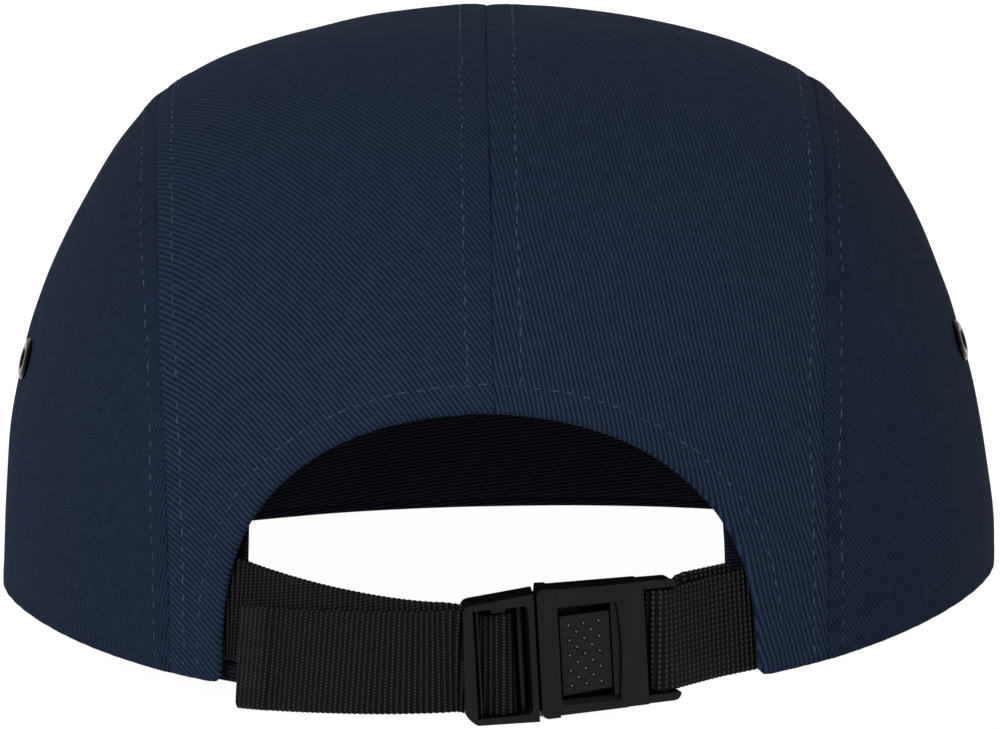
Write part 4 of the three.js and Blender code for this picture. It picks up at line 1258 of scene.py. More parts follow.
@dataclass
class Crown:
    """The crown's five panels with their topstitching."""

    cloth: bpy.types.Material
    side_cloth: bpy.types.Material
    thread: bpy.types.Material
    panels: list[CrownPanel] = field(default_factory=list)

    def draw(self) -> None:
        """Draws the seams and the panels between them."""
        start = SEAMS.side_seam_start()
        rim_turn = CROWN.front_turn(SEAMS.front_rim_x)
        kinds = EdgeKind
        for side, back, flank in (
            (-1, PanelName.BACK_LEFT, PanelName.SIDE_LEFT),
            (1, PanelName.BACK_RIGHT, PanelName.SIDE_RIGHT),
        ):
            foot = SEAMS.back_foot(side)
            behind = CROWN.lean * foot[0, 2] - foot[0, 1]
            top = math.atan2(foot[0, 2] / CROWN.height, behind / CROWN.half_length)
            centre = CROWN.at_section(np.zeros(400), np.linspace(top, SEAMS.middle_turn, 400))
            head = EdgeLine(SEAMS.top_seam(0, side), kinds.FRONT_SEAM)
            middle = EdgeLine(centre, kinds.CENTRE_SEAM)
            flank_seam = EdgeLine(SEAMS.side_seam(start, SEAMS.corner_turn, side), kinds.SIDE_SEAM)
            arch_foot = CROWN.rear_turn(side * SEAMS.arch_side(side)[0] + SEAMS.arch_shift)
            seam_foot = CROWN.rear_turn(side * SEAMS.side_x)
            self.panels.append(
                CrownPanel(
                    back,
                    EdgeLine(foot, kinds.HEM),
                    head,
                    middle,
                    flank_seam,
                    math.radians(57 if side < 0 else 79),
                    seams=[
                        EdgeLine(SEAMS.arch_line(side), kinds.HEM),
                        EdgeLine(SEAMS.rim_line(arch_foot, seam_foot), kinds.RIM),
                        head,
                        middle,
                        flank_seam,
                    ],
                    seed=FIRST_SEED + side,
                )
            )
            self.panels.append(
                CrownPanel(
                    flank,
                    EdgeLine(SEAMS.rim_line(seam_foot, side * rim_turn), kinds.RIM),
                    EdgeLine(SEAMS.side_seam(SEAMS.shoulder_turn, SEAMS.corner_turn, side), kinds.SIDE_SEAM),
                    EdgeLine(SEAMS.side_seam(start, SEAMS.shoulder_turn, side), kinds.SIDE_SEAM),
                    EdgeLine(SEAMS.front_seam(side), kinds.FRONT_SEAM),
                    math.radians(-78 if side < 0 else 50),
                    seed=FIRST_SEED + 10 + side,
                    flat_about=eyelet_seat(side),
                )
            )
        self.panels.append(
            CrownPanel(
                PanelName.FRONT,
                EdgeLine(SEAMS.rim_line(2 * math.pi - rim_turn, rim_turn), kinds.RIM),
                EdgeLine(SEAMS.top_seam(-1, 1), kinds.FRONT_SEAM),
                EdgeLine(SEAMS.front_seam(-1), kinds.FRONT_SEAM),
                EdgeLine(SEAMS.front_seam(1), kinds.FRONT_SEAM),
                math.radians(60),
                seed=FIRST_SEED + 20,
            )
        )

    def build(self) -> None:
        """Builds and dresses every panel and its stitches."""
        self.draw()
        for panel in self.panels:
            wall = panel.build()
            if panel.flat_about is not None:
                self.pierce(wall, panel.flat_about)
            cloth = self.cloth if panel.flat_about is None else self.side_cloth
            settle(wall, cloth, "twill", panel.name.value)
            rows = [self.seam_row(panel, seam) for seam in panel.lines() if seam.finish.stitch_at]
            stitches = Topstitching(f"topstitch_{panel.name.value}", rows).build()
            settle(stitches, self.thread, "twill")

    @staticmethod
    def pierce(wall: bpy.types.Object, seat: Points) -> None:
        """Cuts the eyelet's hole in a side panel.

        Args:
            wall: The side panel.
            seat: The eyelet's middle on the crown, in the crown's millimetres.
        """
        drill = Workbench.rod(0, 0, EYELET_HOLE_RADIUS, 5.0)
        drill.data.transform(eyelet_place(seat))
        Workbench.combine(wall, drill, "DIFFERENCE")
        wall.data.polygons.foreach_set("use_smooth", np.ones(len(wall.data.polygons), bool))

    def seam_row(self, panel: CrownPanel, edge: EdgeLine) -> tuple[Points, Points]:
        """Finds where one row of stitches runs on a panel.

        Args:
            panel: The panel that carries the row.
            edge: The edge that the row follows.

        Returns:
            The row's points on the cloth and the outward directions there.
        """
        line = panel.inward(edge, edge.finish.stitch_at)
        keep = edge.measure(line)[0] > edge.finish.stitch_at - 0.35
        for other in panel.lines():
            if other is edge:
                continue
            over_seam = edge.kind is EdgeKind.HEM and other.kind is EdgeKind.CENTRE_SEAM
            clear = 0.3 if over_seam else max(other.finish.stitch_at - 0.3, 1.2)
            keep &= other.measure(line)[0] > clear
        line = line[keep]
        outer, _ = panel.heights(line)
        return CROWN.below(line, -outer), CROWN.normal(line)


@dataclass
class Topstitching:
    """Rows of small stitches sunk in the cloth, each stitch a bent capsule of thread."""

    name: str
    rows: list[tuple[Points, Points]]
    pitch: float = 3.0
    dash: float = 1.9
    radius: float = 0.17
    proud: float = 0.0
    dip: float = 0.15
    looseness: float = 0.3
    wander: float = 0.1

    def capsule(self) -> tuple[Points, np.ndarray]:
        """Models one stitch along X and returns its points and faces, in stitch lengths and radii.

        Returns:
            The points and the triangles.
        """
        bpy.ops.object.select_all(action="DESELECT")
        bpy.ops.mesh.primitive_uv_sphere_add(segments=6, ring_count=7, radius=1.0, location=(0, 0, 0))
        shape = bpy.context.object
        bpy.ops.object.mode_set(mode="EDIT")
        bpy.ops.mesh.select_all(action="SELECT")
        bpy.ops.transform.rotate(value=math.pi / 2, orient_axis="Y", center_override=(0, 0, 0))
        bpy.ops.mesh.quads_convert_to_tris()
        bpy.ops.object.mode_set(mode="OBJECT")
        places = np.array([v.co[:] for v in shape.data.vertices])
        faces = np.array([p.vertices[:] for p in shape.data.polygons])
        bpy.data.objects.remove(shape)
        places[:, 0] = np.sign(places[:, 0]) * np.abs(places[:, 0]) ** 0.6
        return places, faces

    def build(self) -> bpy.types.Object:
        """Makes all the rows as one mesh.

        Returns:
            The stitches, in the row's frame.
        """
        shape, triangles = self.capsule()
        places, faces, weave = [], [], []
        total = 0
        rng = np.random.default_rng(FIRST_SEED)
        for line, normals in self.rows:
            if len(line) < 3:
                continue
            along = arc_lengths(line)
            for start in np.arange(0.6, along[-1] - self.dash, self.pitch):
                dash = self.dash * (1 + self.looseness * rng.uniform(-1, 1))
                aside, lift = self.wander * rng.normal(size=2)
                at = start + dash * (shape[:, 0] * 0.5 + 0.5)
                middle = np.stack([np.interp(at, along, line[:, k]) for k in range(3)], axis=1)
                normal = unit(np.stack([np.interp(at, along, normals[:, k]) for k in range(3)], axis=1))
                first, last = np.argmin(shape[:, 0]), np.argmax(shape[:, 0])
                tangent = unit(middle[last] - middle[first])
                side = unit(np.cross(normal, tangent))
                sink = self.proud - self.dip * shape[:, 0:1] ** 2
                across = side * (shape[:, 1:2] * self.radius + aside)
                places.append(middle + across + normal * (shape[:, 2:3] * self.radius + sink + 0.4 * lift))
                weave.append(np.stack([shape[:, 1] * 0.3, at], axis=1))
                faces.append(triangles + total)
                total += len(shape)
        return mesh_object(self.name, *(np.concatenate(part) for part in (places, faces, weave)))


@dataclass
class Sweatband:
    """The ribbed band inside the rim, with a stitched lower edge."""

    material: bpy.types.Material
    thread: bpy.types.Material
    height: float = 30.0
    thickness: float = 1.0
    end_left_x: float = -49.0
    end_right_x: float = 44.6
    front_depth: float = 1.5
    rear_depth: float = 3.7
    moves_in_from: float = 0.3
    moves_in_to: float = 0.6
    right_end_lift: float = 4.0
    stitch_up: float = 1.8
    stitch_radius: float = 0.16
    groove_depth: float = 0.25
    groove_half: float = 0.4
    ripple_depth: float = 0.25
    ripple_length: float = 26.0
    lift_run: tuple = (4.0, 24.0)
    column_step: float = 1.4
    foot_rows: tuple = (0, 0.03, 0.12, 0.25, 0.4, 0.6, 0.9, 1.2, 1.45, 1.65, 1.8, 1.95, 2.15, 2.4, 2.8)
    top_rows: tuple = (0.6, 0.4, 0.25, 0.12, 0.03, 0)

    def depth(self, y: np.ndarray) -> np.ndarray:
        """Returns how far below the crown's surface the band's outer face lies."""
        share = smooth_step(-y / CROWN.half_length, self.moves_in_from, self.moves_in_to)
        return self.front_depth + (self.rear_depth - self.front_depth) * share

    def build(self) -> None:
        """Builds the band and its row of stitches."""
        start = CROWN.rear_turn(self.end_right_x)
        end = 2 * math.pi + CROWN.rear_turn(self.end_left_x)
        length = float(arc_lengths(CROWN.rim(np.linspace(start, end, 600)))[-1])
        u = graded_shares(length, self.column_step)
        up = np.concatenate(
            [self.foot_rows, np.arange(3.4, 29.2, 1.3), self.height - np.array(self.top_rows)]
        )
        turn = start + (end - start) * u
        lift = self.right_end_lift * (1 - smooth_step(u * length, *self.lift_run))
        points = np.stack([CROWN.rim(turn, h + lift * (1 - h / self.height)) for h in up], axis=1)
        near_end = np.minimum(u, 1 - u)[:, None] * length
        edge = np.minimum(np.minimum(up, self.height - up)[None, :], near_end)
        r = self.thickness / 2
        half = np.sqrt(np.maximum(r * r - np.clip(r - edge, 0, r) ** 2, 0))
        groove = np.exp(-(((up - self.stitch_up) / self.groove_half) ** 2))[None, :]
        groove = self.groove_depth * groove
        ripple = self.ripple_depth * soft_noise(points, FIRST_SEED + 40, self.ripple_length)
        middle = self.depth(points[..., 1]) + r + np.clip(ripple, -0.2, 0.4)
        outer = CROWN.below(points, middle - half)
        inner = CROWN.below(points, middle + half - groove * (half / r))
        uv = np.stack(np.broadcast_arrays(u[:, None] * length, up[None, :]), axis=-1)
        band = grid_wall("sweatband", outer, inner, uv)
        settle(band, self.material, "sweatband", "sweatband")
        line = CROWN.rim(turn, self.stitch_up + lift)
        inside = CROWN.below(line, self.depth(line[:, 1]) + self.thickness - 0.2)
        rows = [(inside, -CROWN.normal(line))]
        row = Topstitching("topstitch_sweatband", rows, radius=self.stitch_radius)
        settle(row.build(), self.thread, "sweatband")


@dataclass
class Peak:
    """The flat peak at the front: a board in twill, with a rolled edge and rows of stitches."""

    cloth: bpy.types.Material
    thread: bpy.types.Material
    length: float = 69.0
    half_width: float = 87.0
    shoulder_y: float = 60.0
    root_x: float = 79.0
    corner_round: float = 5.0
    thickness: float = 3.4
    power: float = 2.3
    tip_rise: float = 3.0
    corner_drop: float = 1.6
    clearance: float = 0.3
    end_crowding: float = 0.11
    floor: float = -3.0806
    rows_at: tuple = (4.0, 12.0, 20.0, 28.0)
    groove_depth: float = 0.22
    groove_half: float = 0.45
    outline_length: float = 300.0
    root_steepness: float = 3.0
    weave_turn: tuple = (0.82, 0.57)
    edge_lines: tuple = (0, 0.05, 0.2, 0.45, 0.8, 1.2, 1.6, 2.2, 3.0, 3.5, 4.0, 4.5, 5.2, 6.5)
    root_lines: tuple = (0, 0.05, 0.15, 0.3, 0.5, 0.8, 1.2)

    def build(self) -> None:
        """Builds the peak and its rows of stitches."""
        root_turn = CROWN.front_turn(self.root_x)
        raw = np.linspace(0, 1, 181)
        share = raw - self.end_crowding * np.sin(2 * math.pi * raw)
        turn = root_turn + (2 * math.pi - 2 * root_turn) * share
        root_under = CROWN.below(CROWN.rim(turn), -self.clearance)
        root_top = CROWN.below(CROWN.rim(turn, self.thickness), -self.clearance)
        angle = math.pi * share
        across = np.sign(np.cos(angle)) * np.abs(np.cos(angle)) ** (2 / self.power)
        ahead = np.sin(angle).clip(0) ** (2 / self.power)
        rounding = self.corner_round * (1 - smooth_step(ahead, 0, 0.2))
        edge_x = (self.half_width - rounding) * across
        edge_y = self.shoulder_y + (CROWN.half_length + self.length - self.shoulder_y) * ahead
        drop = smooth_step(np.abs(across), 0, 0.9)
        edge_z = (self.floor + self.tip_rise) * (1 - drop) + (self.floor - self.corner_drop) * drop
        edge_line = np.stack([edge_x, edge_y], axis=1)
        span = np.maximum(np.linalg.norm(edge_line - root_under[:, :2], axis=1), 1.0)
        near = np.array(self.edge_lines) / self.length
        at_root = np.array(self.root_lines) / self.length
        out = np.concatenate([at_root[:-1], np.linspace(at_root[-1], 1 - near[-1], 40)[:-1], 1 - near[::-1]])
        bent = root_under[:, 2:3] + (edge_z - root_under[:, 2])[:, None] * smooth_step(out, 0, 0.75)[None, :]
        level = np.maximum(self.floor, bent)

        def lay(root: Points, height: np.ndarray) -> Points:
            """Returns a face of the board, from its root on the crown to its edge.

            Args:
                root: The face's points at the crown.
                height: Its heights, from root to edge.

            Returns:
                The face's grid of points.
            """
            flat = root[:, None, :2] * (1 - out)[None, :, None] + edge_line[:, None] * out[None, :, None]
            return np.concatenate([flat, height[..., None]], axis=-1)

        under, top = lay(root_under, level), lay(root_top, level + self.thickness)
        from_edge = (1 - out)[None, :] * span[:, None]
        from_ends = np.minimum(raw, 1 - raw)[:, None] * self.outline_length
        from_root = out[None, :] * span[:, None] * self.root_steepness
        edge = np.minimum(np.minimum(from_edge, from_ends), from_root)
        r = self.thickness / 2
        plump = np.sqrt(np.maximum(1 - np.clip(1 - edge / r, 0, 1) ** 2, 0))[..., None]
        groove = np.zeros(level.shape)
        for at in self.rows_at:
            groove += self.groove_depth * np.exp(-(((from_edge - at) / self.groove_half) ** 2))
        middle, half = (under + top) / 2, (top - under) / 2
        sunk = np.stack([np.zeros(level.shape), np.zeros(level.shape), groove], axis=-1) * plump
        top, under = middle + half * plump - sunk, middle - half * plump + 0.3 * sunk
        x, y = top[..., 0], top[..., 1]
        cosine, sine = self.weave_turn
        uv = np.stack([x * cosine + y * sine, y * cosine - x * sine], axis=-1)
        peak = grid_wall("peak", top, under, uv)
        settle(peak, self.cloth, "twill", "peak")
        rows = []
        for at in self.rows_at:
            place = 1 - at / span
            keep = (place > 0.12) & (raw > 0.02) & (raw < 0.98)
            column = np.arange(len(raw))[keep]
            spot = np.array([[np.interp(place[i], out, top[i, :, k]) for k in range(3)] for i in column])
            if len(spot) > 3:
                rows.append((spot, np.tile([0.0, 0.0, 1.0], (len(spot), 1))))
        settle(Topstitching("topstitch_peak", rows).build(), self.thread, "twill")


# Straps


@dataclass(frozen=True)
class BuckleSeat:
    """Where a buckle half sits: its own x runs along it, y away from its face, and z up."""

    x: float
    y: float
    z: float
    yaw: float
    roll: float

    def matrix(self) -> Matrix:
        """Returns the turn and place of the half, in the crown's millimetres."""
        turn = Matrix.Rotation(self.yaw, 4, "Z") @ Matrix.Rotation(-self.roll, 4, "Y")
        return Matrix.Translation((self.x, self.y, self.z)) @ turn

    def at(self, along: float, out: float, up: float = 0.0) -> Points:
        """Finds a point by its place in the half.

        Args:
            along: How far it lies along the half.
            out: How far it lies out of the half's face.
            up: How far it lies above the half's middle.

        Returns:
            The point, in the crown's millimetres.
        """
        return np.array(self.matrix() @ Vector((along, -out, up)))

    def up(self) -> Points:
        """Returns the half's upward direction."""
        return np.array(self.matrix().to_3x3() @ Vector((0, 0, 1)))


SLIDE_SEAT = BuckleSeat(-1.0, -96.5, 8.2, math.radians(15), math.radians(2))
HOUSING_SEAT = BuckleSeat(19.512, -92.35, 9.529, math.radians(15), math.radians(2))


@dataclass
class StrapRoute:
    """The stations of a strap: its middle, the direction across it, and its thickness."""

    middles: list[Points] = field(default_factory=list)
    acrosses: list[Points] = field(default_factory=list)
    thicknesses: list[float] = field(default_factory=list)

    def add(self, middle: Points, across: Points, thickness: float) -> None:
        """Adds a station.

        Args:
            middle: The strap's middle.
            across: The direction across the strap.
            thickness: Its thickness there.
        """
        self.middles.append(np.asarray(middle, float))
        self.acrosses.append(np.asarray(across, float))
        self.thicknesses.append(thickness)

    def fine(self, step: float) -> tuple[Points, Points, np.ndarray]:
        """Returns smoothly curved stations at an even step.

        Args:
            step: The step, in millimetres.

        Returns:
            The middles, the directions across, and the thicknesses.
        """
        middles = np.array(self.middles)
        keep = np.concatenate([[True], np.linalg.norm(np.diff(middles, axis=0), axis=1) > 0.05])
        middles = middles[keep]
        across = np.array(self.acrosses)[keep]
        thickness = np.array(self.thicknesses)[keep]
        knots = arc_lengths(middles)
        slopes = np.gradient(middles, knots, axis=0)
        at = np.linspace(0, knots[-1], max(int(knots[-1] / step), 8))
        index = np.clip(np.searchsorted(knots, at, side="right") - 1, 0, len(knots) - 2)
        span = (knots[index + 1] - knots[index])[:, None]
        t = ((at - knots[index])[:, None]) / span
        curve = (2 * t**3 - 3 * t**2 + 1) * middles[index] + (t**3 - 2 * t**2 + t) * span * slopes[index]
        curve += (3 * t**2 - 2 * t**3) * middles[index + 1] + (t**3 - t**2) * span * slopes[index + 1]
        turned = np.stack([np.interp(at, knots, across[:, k]) for k in range(3)], axis=1)
        return curve, turned, np.interp(at, knots, thickness)


@dataclass
class Webbing:
    """The two webbing straps, woven with cords across them and scalloped edges."""

    material: bpy.types.Material
    grid_material: bpy.types.Material
    width: float = 19.0
    thickness: float = 1.3
    clearance: float = 0.3
    seat_clearance: float = 0.6
    middle_y: float = -98.8
    hidden_x: float = 58.0
    corner_x: float = 50.0
    left_corner_z: float = 14.4
    right_corner_z: float = 11.4
    sweep_power: float = 1.9
    tail_end_x: float = -45.8
    tail_end_z: float = 6.2
    tail_fold: float = 4.7
    tail_step_share: float = 0.03
    return_x: float = 44.0
    loop_opens_from: float = 0.35
    loop_opens_to: float = 1.05
    entry_run: float = 2.0
    entry_rise: float = 0.3
    first_layer_rise: float = 1.0
    back_layer_rise: float = 1.35
    squaring: float = 0.3
    slide_half: float = 7.0
    slide_left_bar: float = 2.7
    housing_bar_x: float = 9.9
    bar_radius: float = 0.95
    slide_bar_x: float = 0.8
    slide_sink: float = 0.7
    cord_pitch: float = 1.09
    scallop: float = 0.07
    edge_radius: float = 0.48
    end_radius: float = 0.6
    step: float = 0.24

    @property
    def wrap_radius(self) -> float:
        """The radius of the webbing's middle where it turns round a bar."""
        return self.bar_radius + self.clearance + self.thickness / 2

    @property
    def layer_step(self) -> float:
        """The distance between two layers' middles."""
        return self.thickness + self.clearance

    def in_wall(self, x: float, z: float) -> Points:
        """Returns the strap's middle inside the crown's wall."""
        depth = 1.2 + self.seat_clearance + self.thickness / 2
        return CROWN.below(CROWN.at_rear(np.array([x]), np.array([z])), np.array([depth]))[0]

    def up_the_wall(self, x: float, z: float) -> Points:
        """Returns the direction up the crown's wall."""
        outward = CROWN.normal(CROWN.at_rear(np.array([x]), np.array([z])))[0]
        return unit(np.array([0, 0, 1.0]) - outward * outward[2])

    def hidden_run(self, route: StrapRoute, side: int, z: float) -> None:
        """Adds the stations from a strap's hidden end to the corner of the opening.

        Args:
            route: The route that takes the stations.
            side: -1 for the left strap, 1 for the right.
            z: The height of the strap's middle in the wall.
        """
        for share in (0, 1 / 3, 2 / 3):
            x = side * (self.hidden_x + (self.corner_x - self.hidden_x) * share)
            route.add(self.in_wall(x, z), self.up_the_wall(x, z), self.thickness)

    def free_point(self, x: float, out: float, z: float) -> Points:
        """Returns a point of the left strap's free stretch, which bows from the corner to the slide.

        Args:
            x: The place along the row's x.
            out: How far out of the strap's first layer it lies.
            z: Its height.

        Returns:
            The point.
        """
        corner = self.in_wall(-self.corner_x, self.left_corner_z)
        bow = (corner[1] - self.middle_y) / corner[0] ** 2
        outward = unit(np.array([2 * bow * x, -1.0, 0.0]))
        return np.array([x, self.middle_y + bow * x * x, z]) + outward * out

    def adjuster_route(self) -> StrapRoute:
        """Returns the left strap's stations: in from the wall, round the slide's bar, and back.

        Returns:
            The route, from the hidden end to the tail's end.
        """
        route = StrapRoute()
        up = self.up_the_wall(-self.corner_x, self.left_corner_z)
        tilted = SLIDE_SEAT.up()
        corner = self.in_wall(-self.corner_x, self.left_corner_z)
        entry = SLIDE_SEAT.at(-self.slide_half, 0, self.entry_rise + self.first_layer_rise)
        level = entry[2] + 0.2
        self.hidden_run(route, -1, self.left_corner_z)
        for i in range(17):
            x = corner[0] + (entry[0] - self.entry_run - corner[0]) * i / 16
            sweep = ((x - entry[0]) / (corner[0] - entry[0])) ** self.sweep_power
            z = level + (self.left_corner_z - level) * sweep
            turn = float(smooth_step(i / 16, 0.5, 1))
            route.add(self.free_point(x, 0, z), up * (1 - turn) + tilted * turn, self.thickness)
        route.add(entry, tilted, self.thickness)
        wrap = self.wrap_radius
        for angle in np.radians(np.linspace(-90, 119.4, 17)):
            along, out = self.slide_bar_x + wrap * math.cos(angle), wrap * (1 + math.sin(angle))
            route.add(SLIDE_SEAT.at(along, out, -self.slide_sink), tilted, self.thickness)
        bar_end = self.slide_left_bar - self.slide_half
        route.add(SLIDE_SEAT.at(bar_end, self.layer_step, -self.slide_sink / 2), tilted, self.thickness)
        route.add(SLIDE_SEAT.at(-self.slide_half, self.layer_step, self.entry_rise), tilted, self.thickness)
        entry = SLIDE_SEAT.at(-self.slide_half, self.layer_step, self.entry_rise)
        fold = 1 - self.tail_fold / abs(self.tail_end_x - entry[0])
        shares = [0.1, 0.18, 0.25, 0.32, 0.4, 0.48, 0.55, 0.63, 0.7, 0.77, fold - self.tail_step_share, fold]
        for share in (*shares, 0.95, 1.0):
            x = entry[0] + (self.tail_end_x - entry[0]) * share
            z = entry[2] + (self.tail_end_z - entry[2]) * share
            lift = float(smooth_step(share, 0.5, fold)) * self.thickness / 2
            turn = float(smooth_step(share, 0, 0.5))
            thickness = self.thickness * (2 if share >= fold else 1)
            place = self.free_point(x, self.layer_step + lift, z)
            route.add(place, tilted * (1 - turn) + up * turn, thickness)
        return route

    def fixed_route(self) -> StrapRoute:
        """Returns the right strap's stations: in from the wall, round the housing's bar, and back.

        Returns:
            The route, from the hidden end to the end behind the first layer.
        """
        route = StrapRoute()
        up = self.up_the_wall(self.corner_x, self.right_corner_z)
        tilted = HOUSING_SEAT.up()
        self.hidden_run(route, 1, self.right_corner_z)
        corner = self.in_wall(self.corner_x, self.right_corner_z)
        bar = HOUSING_SEAT.at(self.housing_bar_x, 0)
        run = corner - bar
        flat = unit(np.array([run[0], run[1], 0.0]))
        outward = np.array([flat[1], -flat[0], 0.0])
        wrap = self.wrap_radius

        def opened(share: float) -> float:
            """Returns how far the loop has opened at a share of the run.

            Args:
                share: The share of the run from corner to bar.

            Returns:
                A share from 0 to 1.
            """
            return float(smooth_step(share, self.loop_opens_from, self.loop_opens_to))

        for share in np.linspace(0, 0.8, 9):
            middle = corner + (bar - corner) * share + outward * wrap * opened(share)
            route.add(middle, up * (1 - share) + tilted * share, self.thickness)
        for angle in np.linspace(0, math.pi, 17):
            middle = bar + outward * wrap * math.cos(angle) - flat * wrap * math.sin(angle)
            route.add(middle, tilted, self.thickness)
        end = (corner[0] - self.return_x) / (corner[0] - bar[0])
        for share in np.linspace(0.8, end, 9):
            gap = self.layer_step + (2 * wrap - self.layer_step) * opened(share)
            middle = corner + (bar - corner) * share + outward * (wrap * opened(share) - gap)
            middle[2] += self.back_layer_rise * (1 - float(smooth_step(share, 0.64, 0.8)))
            route.add(middle, up * (1 - share) + tilted * share, self.thickness)
        return route

    def ring(self, half_width: float, half_thickness: float) -> np.ndarray:
        """Returns the rounded cross-section: places across the strap and out of its face.

        Args:
            half_width: Half the strap's width.
            half_thickness: Half its thickness.

        Returns:
            The outline, a row for each point.
        """
        r = min(self.edge_radius, half_thickness * 0.98)
        a, b = half_width - r, half_thickness - r
        arc = np.radians([0, 22.5, 45, 67.5, 90])
        flat = np.linspace(-1, 1, 10)[1:-1] * a
        right_up = np.stack([a + r * np.cos(arc), b + r * np.sin(arc)], axis=1)
        top = np.stack([flat[::-1], np.full(8, half_thickness)], axis=1)
        left_up = np.stack([-a - r * np.sin(arc), b + r * np.cos(arc)], axis=1)
        upper = np.concatenate([right_up, top, left_up])
        return np.concatenate([upper, -upper])

    def ribbon(self, name: str, route: StrapRoute) -> bpy.types.Object:
        """Sweeps the cross-section along a route.

        Args:
            name: The new object's name.
            route: The strap's stations.

        Returns:
            The strap, in the row's frame.
        """
        middle, across, thickness = route.fine(self.step)
        along = np.gradient(middle, axis=0)
        along = unit(along)
        lean = np.sum(across * along, axis=1, keepdims=True)
        across = unit(across - along * lean * self.squaring)
        outward = unit(np.cross(along, across))
        length = arc_lengths(middle)
        from_end = np.minimum(length, length[-1] - length)
        short = np.clip(self.end_radius - from_end, 0, self.end_radius)
        trim = self.end_radius - np.sqrt(self.end_radius**2 - short**2)
        scallop = self.scallop * np.cos(2 * math.pi * length / self.cord_pitch)
        rings = []
        for i in range(len(middle)):
            shape = self.ring(self.width / 2 - trim[i] + scallop[i] - self.scallop, thickness[i] / 2)
            rings.append(middle[i] + shape[:, 0:1] * across[i] + shape[:, 1:2] * outward[i])
        size = len(rings[0])
        places = np.concatenate(rings)
        start = np.arange(len(rings) - 1)[:, None] * size
        k = np.arange(size)[None, :]
        after = (k + 1) % size
        corners = [start + k, start + size + k, start + size + after, start + after]
        faces = np.stack(corners, axis=-1).reshape(-1, 4)
        cap = np.array([[j, j + 1, size - 2 - j, size - 1 - j] for j in range(size // 2 - 1)])
        faces = np.concatenate([faces, cap, cap[:, ::-1] + (len(rings) - 1) * size])
        shape = self.ring(self.width / 2, self.thickness / 2)
        uv = np.stack([np.repeat(length, size), np.tile(shape[:, 0], len(rings))], axis=1)
        return mesh_object(name, places, faces, uv)

    def build(self) -> None:
        """Builds and dresses both straps."""
        for name, route, material in (
            ("adjuster_strap", self.adjuster_route(), self.material),
            ("fixed_strap", self.fixed_route(), self.grid_material),
        ):
            settle(self.ribbon(name, route), material, "webbing", name)


# Buckle


